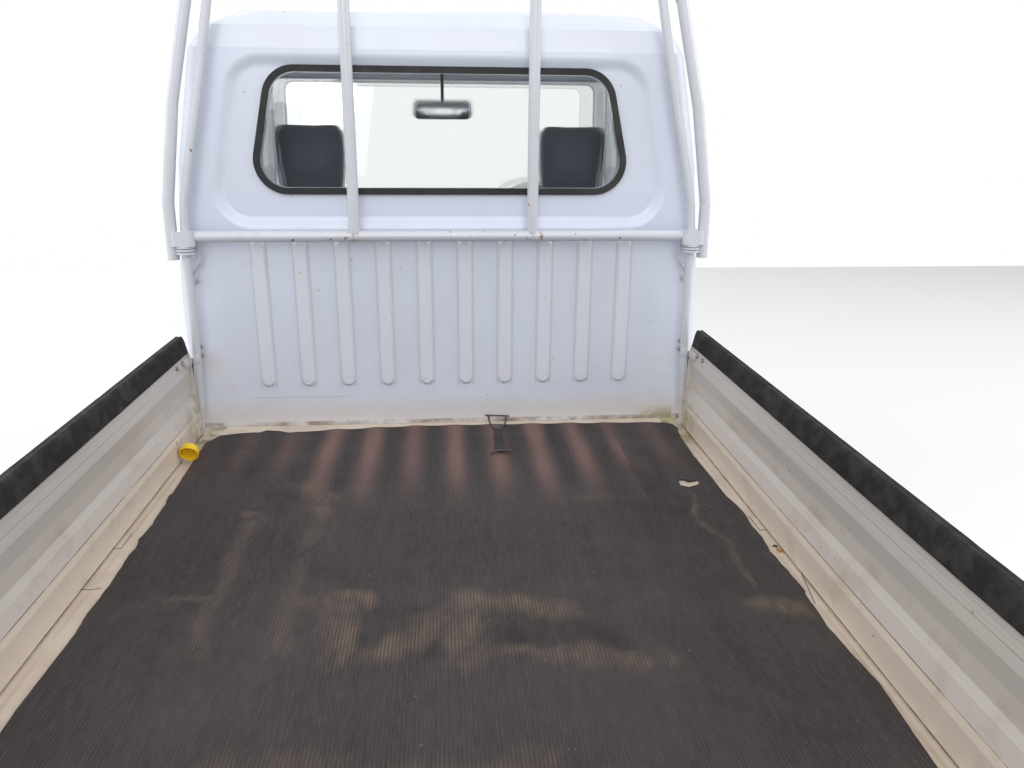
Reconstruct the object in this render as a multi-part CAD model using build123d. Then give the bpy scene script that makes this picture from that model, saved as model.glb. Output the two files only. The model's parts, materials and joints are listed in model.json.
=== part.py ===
from build123d import *
import os

# Small flat-bed truck with a forward cab, in millimetres. +X is the vehicle's left, +Y its rear
# and +Z up. The origin lies on the ground under the middle of the truck.

# Overall sizes
half_width = 737.5
cab_length = 1403
bed_length = 1940
tail_margin = 52
front_overhang = 640
rear_overhang = 855
guard_rise = 1190

# Wheels
tyre_radius = 271
tyre_width = 147
rim_radius = 152
wheel_inset = 97.5
kingpin_inset = 80
arch_gap = 59
arch_band = 30
door_flange = 22
liner = 6

# Heights above the axle or the floor
rail_lift = 149
rail_depth = 90
bed_lift = 150
sill_depth = 100
floor_plate = 20
gate_height = 290
gate_thick = 32

# Clearances
running_gap = 6
pin_radius = 3
pin_play = 0.3

# Cab
wall = 40
glass_inset = 12
glass_thick = 5
floor_sheet = 20
front_bow = 30

# Bars of the guard frame
main_tube = 15
post_tube = 11.5
tube_stand_off = 45

rail_width = 50

# Places that follow from them
length = cab_length + bed_length + tail_margin
front_end = -length / 2
rear_end = length / 2
bed_rear = rear_end - tail_margin
bed_front = bed_rear - bed_length
front_axle = front_end + front_overhang
rear_axle_y = rear_end - rear_overhang
axle_height = tyre_radius
arch_radius = tyre_radius + arch_gap
track_half = half_width - wheel_inset
kingpin_x = track_half - kingpin_inset
wheel_house_wall = kingpin_x - 0.572 * tyre_radius
rail_x = wheel_house_wall - 35
rail_low = axle_height + rail_lift
rail_top = rail_low + rail_depth
floor_top = rail_top + bed_lift
sill_low = floor_top - sill_depth
sill_face = half_width - 22.5
gate_top = floor_top + gate_height
gate_low = floor_top + running_gap
gate_face = half_width - 1.5
guard_y = bed_front + tube_stand_off
gate_front = guard_y + post_tube + running_gap
gate_rear = bed_rear - 5.5
tail_sill_face = bed_rear + 10

# Heights in the cab
cab_low = floor_top - 315
footwell = floor_top - 220
seat_box = floor_top + 60
belt = floor_top + 420
eaves = floor_top + 1030


def box(x0, x1, y0, y1, z0, z1):
    """Block between two corners."""
    middle = Pos((x0 + x1) / 2, (y0 + y1) / 2, (z0 + z1) / 2)
    return middle * Box(x1 - x0, y1 - y0, z1 - z0)


def outline(points, corner=0):
    """Closed polygon, its corners rounded if asked."""
    face = make_face(Polyline(*points, close=True))
    if corner:
        face = fillet(face.vertices(), corner)
    return face


def along_x(face, x0, x1):
    """Profile drawn in (y, z), pulled from x0 to x1."""
    return Pos(x0, 0, 0) * extrude(Plane.YZ * face, x1 - x0)


def along_y(face, y0, y1):
    """Profile drawn in (x, z), pulled from y0 to y1."""
    return Pos(0, y1, 0) * extrude(Plane.XZ * face, y1 - y0)


def along_z(face, z0, z1):
    """Profile drawn in (x, y), pulled from z0 to z1."""
    return Pos(0, 0, z0) * extrude(face, z1 - z0)


def rod_x(x0, x1, y, z, radius):
    return Pos((x0 + x1) / 2, y, z) * Rot(0, 90, 0) * Cylinder(radius, x1 - x0)


def rod_y(x, y0, y1, z, radius):
    return Pos(x, (y0 + y1) / 2, z) * Rot(90, 0, 0) * Cylinder(radius, y1 - y0)


def rod_z(x, y, z0, z1, radius):
    return Pos(x, y, (z0 + z1) / 2) * Cylinder(radius, z1 - z0)


def flip(shape):
    """The same piece on the vehicle's right."""
    return mirror(shape, Plane.YZ)


def both(shape):
    """A piece and its twin on the other side."""
    return shape + flip(shape)


def symmetric(rows):
    """Outline from rows of (drop from half_width, rise over floor_top), closed by its mirror image."""
    left = [(half_width - drop, floor_top + rise) for drop, rise in rows]
    return [*left, *[(-x, z) for x, z in reversed(left)]]


def tube(points, radius, bend):
    """Round bar along bent straight runs."""
    path = FilletPolyline(*points, radius=bend)
    start = Plane(origin=path @ 0, z_dir=path % 0)
    return sweep(start * Circle(radius), path=path)


# Cab hull from the bottom up: rise over floor_top, drop from half_width, setback of the front,
# setback of the back, front corner radius, back corner radius
cab_sections = [
    (-315, 11.5, 57.5, 0, 110, 45),
    (-100, 2.5, 25.5, 0, 120, 45),
    (40, 0, 17.5, 0, 125, 45),
    (420, 0, 42.5, 0, 130, 45),
    (740, 29.5, 189.5, 0, 130, 45),
    (1030, 82.5, 322.5, 0, 130, 45),
    (1085, 115.5, 352.5, 8, 130, 60),
    (1123, 177.5, 407.5, 40, 140, 90),
    (1140, 287.5, 507.5, 130, 140, 110),
]


def cab_level(z, half, front, back, front_r, back_r):
    """Plan of the cab at one height."""
    bowed = ThreePointArc((-half, front + front_bow), (0, front), (half, front + front_bow))
    rest = Polyline((half, front + front_bow), (half, back), (-half, back), (-half, front + front_bow))
    face = make_face([bowed, *rest.edges()])
    face = fillet([v for v in face.vertices() if v.Y < back - 1], front_r)
    face = fillet([v for v in face.vertices() if abs(v.Y - back) < 0.001], back_r)
    return Pos(0, 0, z) * face


def hull(inset):
    """Solid cab envelope drawn in by inset on its sides and top."""
    levels = []
    for rise, drop, front, back, front_r, back_r in cab_sections:
        z = floor_top + rise
        if inset and z == cab_low:
            z -= 5
        if z > eaves:
            z -= inset
        half = half_width - drop - inset
        levels.append(
            cab_level(
                z,
                half,
                front_end + front + inset,
                bed_front - back - inset,
                max(front_r - inset, 5),
                max(back_r - inset, 5),
            )
        )
    return loft(levels, ruled=True)


cab_inner = hull(wall)
shell = hull(0) - cab_inner
glass_outer = hull(glass_inset)
glass_layer = glass_outer - hull(glass_inset + glass_thick)
skin_layer = hull(0) - glass_outer

# Door leaf, the opening round it and its window in (y, z)
door_pin_x = half_width - 7.5
door_pin_y = front_end + 207.5
door_edge = door_pin_y + 12
opening_edge = door_pin_y + 2
door_back = bed_front - 250.5
door_low = cab_low + 66
door_high = eaves - running_gap
pillar_run = 240
door_shape = outline(
    [
        (door_edge, door_low),
        (door_back, door_low),
        (door_back, belt),
        (door_back - 8, door_high),
        (door_edge + pillar_run, door_high),
        (door_edge, belt),
    ],
    20,
)
opening_shape = outline(
    [
        (opening_edge, door_low - running_gap),
        (door_back + running_gap, door_low - running_gap),
        (door_back + running_gap, eaves + 12),
        (opening_edge + pillar_run + 7, eaves + 12),
        (opening_edge, belt),
    ],
    8,
)
door_window = outline(
    [
        (door_edge + 63, belt + 45),
        (door_back - 55, belt + 45),
        (door_back - 61, door_high - 44),
        (door_edge + 268, door_high - 44),
    ],
    35,
)

# Outlines seen from behind or in front: drop from half_width, rise over floor_top
windscreen_shape = outline(symmetric([(87.5, 445), (141.5, 1004)]), 40)
back_panel_shape = outline(
    symmetric([(61.5, -315), (53.5, 420), (65.5, 621), (89.5, 780), (131.5, 930), (167.5, 1030)])
)
gasket_width = 17
rear_window_shape = outline(symmetric([(211.5, 662), (284.5, 991)]), 88)
rear_window_hole = offset(rear_window_shape, -gasket_width)
recess_shape = outline(symmetric([(92.5, 569), (186.5, 1018)]), 105)
recess_depth = 12
back_panel_low = rail_top + 6
front_panel_half = half_width - 87.5
front_panel_top = floor_top + 445

# Front arch, cut through the sides only
arch_cut = rod_x(wheel_house_wall, half_width + 60, front_axle, axle_height, arch_radius)
arch_keep = rod_x(300, half_width + 60, front_axle, axle_height, arch_radius + arch_band)
door_arch_radius = arch_radius + arch_band + running_gap
door_arch = rod_x(300, half_width + 60, front_axle, axle_height, door_arch_radius)
door_arch += rod_x(300, half_width - door_flange, front_axle, axle_height, door_arch_radius + 12)

# Door hinges: height of the middle of each over the floor
door_hinges = [-100, 300]
hinge_reach = 30
knuckle_half = 12
knuckle_radius = 7
barrel_gap = 0.5


def door_hinge_pocket(z):
    """Room in the pillar for the barrels to turn."""
    return rod_z(door_pin_x, door_pin_y, z - hinge_reach, z + hinge_reach, knuckle_radius + 5.5)


def frame_knuckles(z):
    """Two fixed barrels with their webs and the pin through them."""
    got = rod_z(door_pin_x, door_pin_y, z - hinge_reach, z + hinge_reach, pin_radius)
    for low, high in ((z - hinge_reach, z - knuckle_half), (z + knuckle_half, z + hinge_reach)):
        got += rod_z(door_pin_x, door_pin_y, low, high, knuckle_radius)
        got += box(door_pin_x - 14, door_pin_x + 4, door_pin_y - 16, door_pin_y, low, high)
    return got


def door_knuckle(z):
    """Moving barrel between the fixed ones."""
    low = z - knuckle_half + barrel_gap
    high = z + knuckle_half - barrel_gap
    got = rod_z(door_pin_x, door_pin_y, low, high, knuckle_radius)
    got += box(door_pin_x - 12, door_pin_x + 4, door_pin_y, door_edge + 6, low, high)
    return got - rod_z(door_pin_x, door_pin_y, low, high, pin_radius + pin_play)


# Cab body split where its panels meet
far = 4000
left_half = box(0, far, -far, far, 0, far)
roof_zone = box(-far, far, -far, far, eaves, far)
front_zone = box(-front_panel_half, front_panel_half, -far, front_end + 217.5, 0, front_panel_top)
back_zone = along_y(back_panel_shape, bed_front - 50, bed_front + 15)
door_zone = along_x(door_shape, 300, half_width + 60) - door_arch
opening_zone = along_x(opening_shape, 300, half_width + 60) - arch_keep
windscreen_zone = along_y(windscreen_shape, front_end - 100, front_end + 500)
door_room = both(opening_zone - hull(wall + running_gap))

# Roof with raised ribs along it
cab_roof = shell & roof_zone
roof_top = floor_top + cab_sections[-1][0]
rib_front = front_end + cab_sections[-1][2] + 60
rib_back = bed_front - cab_sections[-1][3] - 60
rib_half = half_width - cab_sections[-1][1] - 90
rib_count = 4
for number in range(rib_count):
    x = rib_half * (2 * number / (rib_count - 1) - 1)
    slot = Pos(x, (rib_front + rib_back) / 2) * SlotOverall(rib_back - rib_front, 46, rotation=90)
    cab_roof += extrude(Pos(0, 0, roof_top) * slot, 5, taper=45)

cab_side = (shell & left_half) - roof_zone - front_zone - back_zone
for hole in (opening_zone, arch_cut, windscreen_zone):
    cab_side -= hole
for rise in door_hinges:
    cab_side -= door_hinge_pocket(floor_top + rise)
    cab_side += frame_knuckles(floor_top + rise)
cab_frame = both(cab_side)

door = shell & left_half & door_zone
door -= along_x(door_window, 0, half_width + 60)
handle_y = door_back - 95
handle_z = belt - 62
handle_shape = outline(
    [
        (handle_y - 70, handle_z - 22),
        (handle_y + 70, handle_z - 22),
        (handle_y + 70, handle_z + 22),
        (handle_y - 70, handle_z + 22),
    ],
    16,
)
door -= skin_layer & along_x(handle_shape, 300, half_width + 60)
for rise in door_hinges:
    door += door_knuckle(floor_top + rise)
door_glass = glass_layer & along_x(door_window, 0, half_width + 60)
windscreen = glass_layer & windscreen_zone

# Back panel: a shallow recess round the rear window and vertical beads below it
cab_back_panel = (shell & back_zone) - box(-far, far, -far, far, 0, back_panel_low)
cab_back_panel -= along_y(recess_shape, bed_front - recess_depth, bed_front + 10)
cab_back_panel -= along_y(rear_window_hole, bed_front - 100, bed_front + 10)
bead_count = 10
bead_spacing = 113.2
bead_width = 44
bead_height = 7
bead_slope = 50
bead_low = floor_top + 118
bead_high = floor_top + 545
panel_back = Plane(origin=(0, bed_front, 0), x_dir=(-1, 0, 0), z_dir=(0, 1, 0))
for number in range(bead_count):
    x = (number - (bead_count - 1) / 2) * bead_spacing
    slot = Pos(x, (bead_low + bead_high) / 2) * SlotOverall(bead_high - bead_low, bead_width, rotation=90)
    cab_back_panel += extrude(panel_back * slot, bead_height, taper=bead_slope)

rear_window = glass_layer & along_y(rear_window_hole, bed_front - 100, bed_front + 10)
rear_window_seal = along_y(rear_window_shape, bed_front - recess_depth, bed_front - recess_depth + 8)
rear_window_seal -= along_y(rear_window_hole, bed_front - 100, bed_front + 10)

# Front panel with the headlamps let into it
lamp_zone = both(box(half_width - 307.5, half_width - 112.5, -far, 0, floor_top - 20, floor_top + 130))
cab_front_panel = (shell & front_zone) - lamp_zone
headlamps = shell & front_zone & lamp_zone
grille_half = half_width - 350
grille_low = floor_top + 12
slot_height = 14
slot_pitch = 24
slot_count = 3
for number in range(slot_count):
    slot = Pos(0, grille_low + number * slot_pitch) * SlotOverall(2 * grille_half, slot_height)
    cab_front_panel -= skin_layer & along_y(slot, front_end - 100, front_end + 200)

# Bumper wrapped round the foot of the cab, with turn lamps and two plate screws
bumper_low = cab_low - 15
bumper_top = cab_low + 160
bumper_plan = cab_level(bumper_low, half_width, front_end, front_end + 247.5, 120, 20)
bumper_room = box(-far, far, -far, front_end + 167.5, 0, far)
front_bumper = extrude(bumper_plan, bumper_top - bumper_low) & bumper_room
front_bumper -= hull(-pin_play) & box(-far, far, -far, far, cab_low, belt)
front_bumper -= box(40 - half_width, half_width - 40, front_end + 77.5, 0, 0, cab_low + 1)
turn_zone = both(box(half_width - 267.5, half_width - 132.5, -far, front_end + 40, bumper_low + 90, bumper_low + 145))
turn_lamps = front_bumper & turn_zone
front_bumper -= turn_zone
plate_hole = 3.5
plate_half = 105
plate_z = bumper_low + 88
for x in (-plate_half, plate_half):
    front_bumper -= rod_y(x, front_end - 5, front_end + 70, plate_z, plate_hole)
    cab_front_panel -= rod_y(x, front_end, front_end + 75, plate_z, plate_hole + 3)

# Cab floor: footwell, riser and the box the seats stand on, with the wheel houses
riser = front_axle - (arch_radius + liner - 56.5)
cab_floor = along_x(
    outline(
        [
            (front_end, footwell),
            (riser, footwell),
            (riser, seat_box - floor_sheet),
            (bed_front - 30, seat_box - floor_sheet),
            (bed_front - 30, seat_box),
            (riser - floor_sheet, seat_box),
            (riser - floor_sheet, footwell + floor_sheet),
            (front_end, footwell + floor_sheet),
        ]
    ),
    -half_width,
    half_width,
)
strut_x = kingpin_x - 47
strut_radius = 22
house_wall = wheel_house_wall - liner
wheel_house = rod_x(house_wall, half_width, front_axle, axle_height, arch_radius + liner)
wheel_house -= rod_x(wheel_house_wall, far, front_axle, axle_height, arch_radius)
wheel_house &= box(0, far, -far, far, cab_low, seat_box - 20)
wheel_house -= rod_z(strut_x, front_axle, axle_height + 200, seat_box - 25, strut_radius + pin_play)
cab_inside = hull(wall + pin_play)
wheel_houses = both((wheel_house & cab_inside) - door_room)
cab_floor -= both(rod_x(house_wall - pin_play, far, front_axle, axle_height, arch_radius + liner + pin_play))
cab_floor &= cab_inside
cab_floor -= door_room

# Dashboard with the steering column
wheel_x = -370
wheel_y = front_end + 481.5
wheel_z = floor_top + 485
wheel_tilt = 42
wheel_rim_radius = 185
wheel_place = Pos(wheel_x, wheel_y, wheel_z) * Rot(wheel_tilt - 90, 0, 0)
hub_length = 60
dash_top = belt + 20
dashboard = along_x(
    outline(
        [
            (front_end, dash_top - 290),
            (front_end + 207.5, dash_top - 290),
            (front_end + 280, dash_top - 190),
            (front_end + 272.5, dash_top - 40),
            (front_end + 237.5, dash_top - 8),
            (front_end, dash_top),
        ],
        12,
    ),
    -half_width,
    half_width,
)
dash_face = front_end + 280
vent_low = dash_top - 100
vent_rows = [(0, 75), (half_width - 170, 45), (170 - half_width, 45)]
for middle, wide in vent_rows:
    dashboard -= box(middle - wide, middle + wide, dash_face - 30, dash_face, vent_low, vent_low + 42)
glovebox = box(130, half_width - 250, dash_face - 12, dash_face + 1, dash_top - 182, dash_top - 112)
glovebox -= box(134, half_width - 254, dash_face - 12, dash_face + 1, dash_top - 178, dash_top - 116)
dashboard -= glovebox
dashboard -= box(-95, 95, dash_face - 14, dash_face + 1, dash_top - 172, dash_top - 118)
dial_half = 140
dial_hood = outline(
    [
        (front_end + 90, dash_top - 30),
        (front_end + 262, dash_top - 30),
        (front_end + 240, dash_top + 55),
        (front_end + 190, dash_top + 70),
    ],
    14,
)
dashboard += along_x(dial_hood, wheel_x - dial_half, wheel_x + dial_half)
dial_room = box(
    wheel_x - dial_half + 12, wheel_x + dial_half - 12, front_end + 222, dash_face, dash_top - 26, dash_top + 48
)
dashboard -= dial_room
dashboard &= cab_inside
dashboard -= door_room
dashboard += wheel_place * Pos(0, 0, -hub_length - 130) * Cylinder(28, 260)
steering_wheel = Torus(wheel_rim_radius, 12) + Pos(0, 0, -hub_length / 2) * Cylinder(32, hub_length)
for angle in (90, 210, 330):
    steering_wheel += Rot(0, 0, angle) * box(0, wheel_rim_radius - 4, -14, 14, -16, -6)
steering_wheel = wheel_place * steering_wheel

# Seats on their box
seat_x = half_width - 352.5
seat_half = 235
cushion_back = bed_front - 395.5
seat_cushions = both(
    along_x(
        outline(
            [
                (cushion_back - 520, seat_box),
                (cushion_back - 10, seat_box),
                (cushion_back, seat_box + 80),
                (cushion_back - 510, seat_box + 122),
                (cushion_back - 535, seat_box + 80),
            ],
            18,
        ),
        seat_x - seat_half,
        seat_x + seat_half,
    )
)
seat_top = floor_top + 875
shoulder = floor_top + 600
head_half = 95
seat_back = along_x(
    outline(
        [
            (cushion_back + 5, seat_box),
            (cushion_back + 100, seat_box),
            (cushion_back + 220, seat_top - 30),
            (cushion_back + 180, seat_top),
            (cushion_back + 125, seat_top - 25),
        ],
        15,
    ),
    seat_x - seat_half + 15,
    seat_x + seat_half - 15,
)
seat_back &= along_y(
    outline(
        [
            (seat_x - seat_half + 15, seat_box - 10),
            (seat_x + seat_half - 15, seat_box - 10),
            (seat_x + seat_half - 20, shoulder),
            (seat_x + head_half + 15, shoulder + 70),
            (seat_x + head_half, seat_top),
            (seat_x - head_half, seat_top),
            (seat_x - head_half - 15, shoulder + 70),
            (seat_x - seat_half + 20, shoulder),
        ],
        30,
    ),
    cushion_back,
    bed_front,
)
seat_backs = both(seat_back)
mirror_y = bed_front - 1000
mirror_z = floor_top + 901
mirror_face = outline(
    [
        (-114, mirror_z - 34),
        (109, mirror_z - 34),
        (104, mirror_z + 34),
        (-109, mirror_z + 34),
    ],
    20,
)
cab_mirror = along_y(mirror_face, mirror_y - 9, mirror_y + 9)
cab_mirror += rod_z(-2, mirror_y, mirror_z + 20, eaves + 100, 6)
cab_mirror &= cab_inside

# Door mirror and the arm that carries it
mirror_low = belt + 50
mirror_high = mirror_low + 200
arm_y = door_edge + 42
mirror_arm = tube(
    [
        (half_width - 22, arm_y, belt + 28),
        (half_width + 52, arm_y, belt + 60),
        (half_width + 62, arm_y, belt + 100),
    ],
    7,
    20,
)
mirror_shape = outline(
    [
        (half_width + 4.5, arm_y - 16),
        (half_width + 132.5, arm_y - 28),
        (half_width + 132.5, arm_y + 6),
        (half_width + 4.5, arm_y + 12),
    ],
    12,
)
door_mirror = along_z(mirror_shape, mirror_low, mirror_high) + (mirror_arm - hull(0))

# Chassis rails, low at the nose, with their cross members: middle, low, high
nose_low = footwell - 90
rails = along_x(
    outline(
        [
            (front_end + 127.5, nose_low),
            (riser + 27, nose_low),
            (riser + 127, rail_low),
            (rear_end - 77.5, rail_low),
            (rear_end - 77.5, rail_top),
            (riser + 100, rail_top),
            (riser, footwell),
            (front_end + 127.5, footwell),
        ]
    ),
    rail_x - rail_width / 2,
    rail_x + rail_width / 2,
)
frame_rails = both(rails)
rail_face = rail_x + rail_width / 2
spring_front = rear_axle_y - 347.5
spring_rear = rear_axle_y + 347.5
spare_y = bed_rear - 295.5
member_rows = [
    (front_end + 152.5, nose_low + 10, nose_low + 80),
    (front_axle + 157.5, rail_low + 10, rail_top - 10),
    (bed_front + 44.5, rail_low + 10, rail_top - 10),
    (spring_front - 345, rail_low + 10, rail_top - 10),
    (spring_front + 65, rail_low + 10, rail_top - 10),
    (rear_axle_y + 207.5, rail_low + 10, rail_top - 10),
    (spare_y, rail_low + 10, rail_top - 10),
    (rear_end - 102.5, rail_low + 10, rail_top - 10),
]
member_half = rail_x - rail_width / 2
rail_members = Part()
for middle, low, high in member_rows:
    rail_members += box(-member_half, member_half, middle - 25, middle + 25, low, high)
spare_top = rail_low - 5
spare_z = spare_top - tyre_width / 2
disc_inner = 12
rail_members += rod_z(0, spare_y, spare_z - disc_inner, rail_low + 20, 40)
for x in (-plate_half, plate_half):
    rail_members -= rod_y(x, rear_end - 150, rear_end - 50, rail_low + 45, plate_hole)
tow_eye_y = rear_end - 90
tow_eye_z = rail_low - 26
tow_eye_hole = 14
tow_eye = box(rail_x - 6, rail_x + 6, tow_eye_y - 20, tow_eye_y + 12, tow_eye_z, rail_low)
tow_eye += rod_x(rail_x - 6, rail_x + 6, tow_eye_y, tow_eye_z, 24)
tow_eye -= rod_x(rail_x - 7, rail_x + 7, tow_eye_y, tow_eye_z, tow_eye_hole)
rail_brackets = both(tow_eye)

# Leaf springs between hangers on the rails
spring_x = rail_x + 80
spring_half = 25
leaf_end = axle_height + 114
leaf_low = axle_height + 47
leaf_lift = 28
for end in (spring_front, spring_rear):
    hanger = box(rail_face, spring_x + spring_half, end - 15, end + 15, leaf_end - 10, rail_low + 50)
    rail_brackets += both(hanger)
leaf_start = spring_front + 15
leaf_stop = spring_rear - 15
lower_leaf = ThreePointArc((leaf_start, leaf_end), (rear_axle_y, leaf_low), (leaf_stop, leaf_end))
upper_leaf = ThreePointArc(
    (leaf_start, leaf_end + leaf_lift), (rear_axle_y, leaf_low + leaf_lift), (leaf_stop, leaf_end + leaf_lift)
)
leaf_face = make_face(
    [
        lower_leaf,
        Line((leaf_stop, leaf_end), (leaf_stop, leaf_end + leaf_lift)),
        upper_leaf,
        Line((leaf_start, leaf_end + leaf_lift), (leaf_start, leaf_end)),
    ]
)
leaf_springs = both(along_x(leaf_face, spring_x - spring_half, spring_x + spring_half))

# Wheels: profiles drawn in (outward offset, radius) and turned about the axle
tread = tyre_radius
side = tyre_width / 2
bead = side - 18.5
tyre_profile = [
    (-bead, rim_radius),
    (bead, rim_radius),
    (bead, rim_radius + 14),
    (side, (rim_radius + tread) / 2 - 3.5),
    (side - 3.5, tread - 31),
    (side - 16.5, tread - 5),
    (side - 33.5, tread),
    (33.5 - side, tread),
    (16.5 - side, tread - 5),
    (3.5 - side, tread - 31),
    (-side, (rim_radius + tread) / 2 - 3.5),
    (-bead, rim_radius + 14),
]
rim_inner = rim_radius - 6
disc_outer = 17
rim_profile = [
    (-bead - 5, rim_inner),
    (-bead - 5, rim_radius + 11),
    (-bead - 0.3, rim_radius + 11),
    (-bead - 0.3, rim_radius - 0.3),
    (bead + 0.3, rim_radius - 0.3),
    (bead + 0.3, rim_radius + 11),
    (bead + 5, rim_radius + 11),
    (bead + 5, rim_inner),
    (disc_outer + 5, rim_inner - 6),
    (disc_outer + 17, 112),
    (disc_outer + 17, 92),
    (disc_outer, 76),
    (disc_outer, 30),
    (disc_inner, 30),
    (disc_inner, 78),
    (disc_inner + 16, 94),
    (disc_inner + 16, 110),
    (disc_inner + 3, rim_inner - 5),
]
drum_back = 45
hub_profile = [(0, 0), (0, 66), (disc_inner, 66), (disc_inner, 29), (40, 27), (44, 20), (44, 0)]
drum_profile = [(-drum_back, 0), (-drum_back, 98), (-2, 98), (0, 90), (0, 0)]


def turned(points):
    """Ring or disc turned about the X axis."""
    return revolve(outline(points), Axis.X, 360)


tyre = turned(tyre_profile)
bare_rim = turned(rim_profile)
vent_count = 8
for number in range(vent_count):
    bare_rim -= Rot(360 / vent_count * number, 0, 0) * rod_x(0, side, 0, rim_inner - 20, 11)
rim = bare_rim + turned(hub_profile) + turned(drum_profile)
spare_wheel = Pos(0, spare_y, spare_z) * Rot(0, 90, 0) * (tyre + bare_rim)

# Rear axle between the brake drums
plate_x = track_half - drum_back
plate_thick = 6
rear_axle = rod_x(-plate_x, plate_x, rear_axle_y, axle_height, 28)
rear_axle += both(rod_x(plate_x - plate_thick, plate_x, rear_axle_y, axle_height, 100))
rear_axle += rod_x(-65, 65, rear_axle_y, axle_height, 105)
rear_axle += both(
    box(spring_x - 28, spring_x + 28, rear_axle_y - 45, rear_axle_y + 45, axle_height, leaf_low)
)

# Engine as one block, with the shaft that drives the rear axle
engine_back = bed_front - 65.5
engine_top = seat_box - 80
engine_block = box(-200, 200, engine_back - 420, engine_back, axle_height + 49, engine_top)
engine_block += both(
    box(200, rail_x - rail_width / 2, engine_back - 260, engine_back - 200, rail_low + 10, rail_low + 60)
)
shaft_axis = Line((0, engine_back + 2, axle_height + 109), (0, rear_axle_y - 104, axle_height + 19))
prop_shaft = sweep(Plane(origin=shaft_axis @ 0, z_dir=shaft_axis % 0) * Circle(24), path=shaft_axis)

# Front suspension: cross beam with the lower arms, and a strut on each side
arm_low = axle_height - 91
arm_top = axle_height - 71
foot_low = axle_height + 104
foot_top = foot_low + 20
kingpin_radius = 8
eye_radius = 18
kingpin_bore = rod_z(kingpin_x, front_axle, arm_low - 1, foot_top + 1, kingpin_radius + pin_play)
front_suspension = box(-rail_face, rail_face, front_axle - 35, front_axle + 35, rail_low - 35, rail_low)
arm_plan = outline(
    [
        (rail_face - 35, front_axle - 55),
        (kingpin_x, front_axle - eye_radius),
        (kingpin_x, front_axle + eye_radius),
        (rail_face - 35, front_axle + 25),
    ]
)
lower_arm = box(rail_face - 65, rail_face, front_axle - 30, front_axle + 30, arm_low, rail_low - 35)
lower_arm += along_z(arm_plan, arm_low, arm_top)
lower_arm += rod_z(kingpin_x, front_axle, arm_low, arm_top, eye_radius)
lower_arms = both(lower_arm - kingpin_bore)
strut = rod_z(strut_x, front_axle, foot_low, seat_box - 60, strut_radius)
strut += box(strut_x - 15, kingpin_x, front_axle - eye_radius, front_axle + eye_radius, foot_low, foot_top)
strut += rod_z(kingpin_x, front_axle, foot_low, foot_top, eye_radius)
front_struts = both(strut - kingpin_bore)

# Steering rack hung under the rails ahead of the axle, with its rubber boots
rack_y = riser + 169.5
rack_z = axle_height + 29
rack_half = rail_face - 10
steering_rack = rod_x(-rack_half, rack_half, rack_y, rack_z, 20)
steering_rack += both(box(rail_face - 45, rail_face - 15, rack_y - 16, rack_y + 16, rack_z - 20, rail_low))
steering_rack += both(rod_x(rail_face - 12, rail_face + 58, rack_y, rack_z, 16))

knuckle = box(kingpin_x - 12, kingpin_x + 12, front_axle - 18, front_axle + 18, arm_top, foot_low)
knuckle += rod_z(kingpin_x, front_axle, arm_low - 5, foot_top + 5, kingpin_radius)
knuckle += rod_x(kingpin_x, plate_x, front_axle, axle_height, 30)
knuckle += rod_x(plate_x - plate_thick, plate_x, front_axle, axle_height, 95)
knuckle += box(kingpin_x - 12, kingpin_x + 4, front_axle - 105, front_axle, axle_height - 31, axle_height - 13)

# Exhaust out to the right in front of the rear wheel, and the fuel tank on the left
pipe_z = rail_low - 70
pipe_x = 80 - rail_x
muffler_front = spring_front - 555
exhaust = tube(
    [
        (-150, engine_back, pipe_z),
        (-150, muffler_front - 210, pipe_z),
        (pipe_x, muffler_front - 90, pipe_z),
        (pipe_x, spring_front - 115, pipe_z),
        (-sill_face + 25, spring_front - 115, pipe_z),
    ],
    19,
    40,
)
exhaust += rod_y(pipe_x, muffler_front, muffler_front + 320, pipe_z, 65)
exhaust += box(
    pipe_x - 10, pipe_x + 10, spring_front - 355, spring_front - 335, pipe_z + 55, rail_low + 10
)
fuel_tank = box(rail_face, rail_face + 215, spring_front - 675, spring_front - 175, rail_low - 120, rail_low + 60)
fuel_tank = fillet(fuel_tank.edges().filter_by(Axis.Y), 25)

# Load bed: floor plate with its sills, and the cross beams that carry it on the rails
bed_start = bed_front + 2
sill_width = 25
bed_floor = box(-sill_face, sill_face, bed_start, tail_sill_face, floor_top - floor_plate, floor_top)
bed_floor += both(box(sill_face - sill_width, sill_face, bed_start, tail_sill_face, sill_low, floor_top))
bed_floor += box(-sill_face, sill_face, tail_sill_face - 40, tail_sill_face, sill_low, floor_top)
# Beams: middle, half length of the shallow part
deep_half = rail_face + 5
beam_half = sill_face - sill_width
beam_rows = [
    (bed_front + 64.5, beam_half),
    (spring_front - 345, beam_half),
    (spring_front, beam_half),
    (rear_axle_y, wheel_house_wall + 135),
    (rear_axle_y + 322.5, beam_half),
    (bed_rear - 165.5, beam_half),
]
beam_top = floor_top - floor_plate
bed_beams = Part()
for middle, wide in beam_rows:
    bed_beams += box(-deep_half, deep_half, middle - 25, middle + 25, rail_top, beam_top)
    bed_beams += box(-wide, wide, middle - 25, middle + 25, sill_low, beam_top)
tyre_room = rod_x(track_half - side - 20, far, rear_axle_y, axle_height, tyre_radius + 34)
tyre_room &= box(-far, far, -far, far, 0, floor_top - 10)
bed_floor -= both(tyre_room)
bed_beams -= both(tyre_room)

# Gate hinges: axis just outside the sill, a little below the floor
gate_pin_x = half_width - 9.5
gate_pin_z = floor_top - 5
tail_pin_y = bed_rear + gate_thick - 9
barrel_radius = 6
barrel_end = 32
barrel_mid = 12
side_hinges = [bed_front + 194.5, (bed_front + bed_rear) / 2 + 24.5, bed_rear - 145.5]
tail_hinges = [137.5 - half_width, 0, half_width - 137.5]


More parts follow.
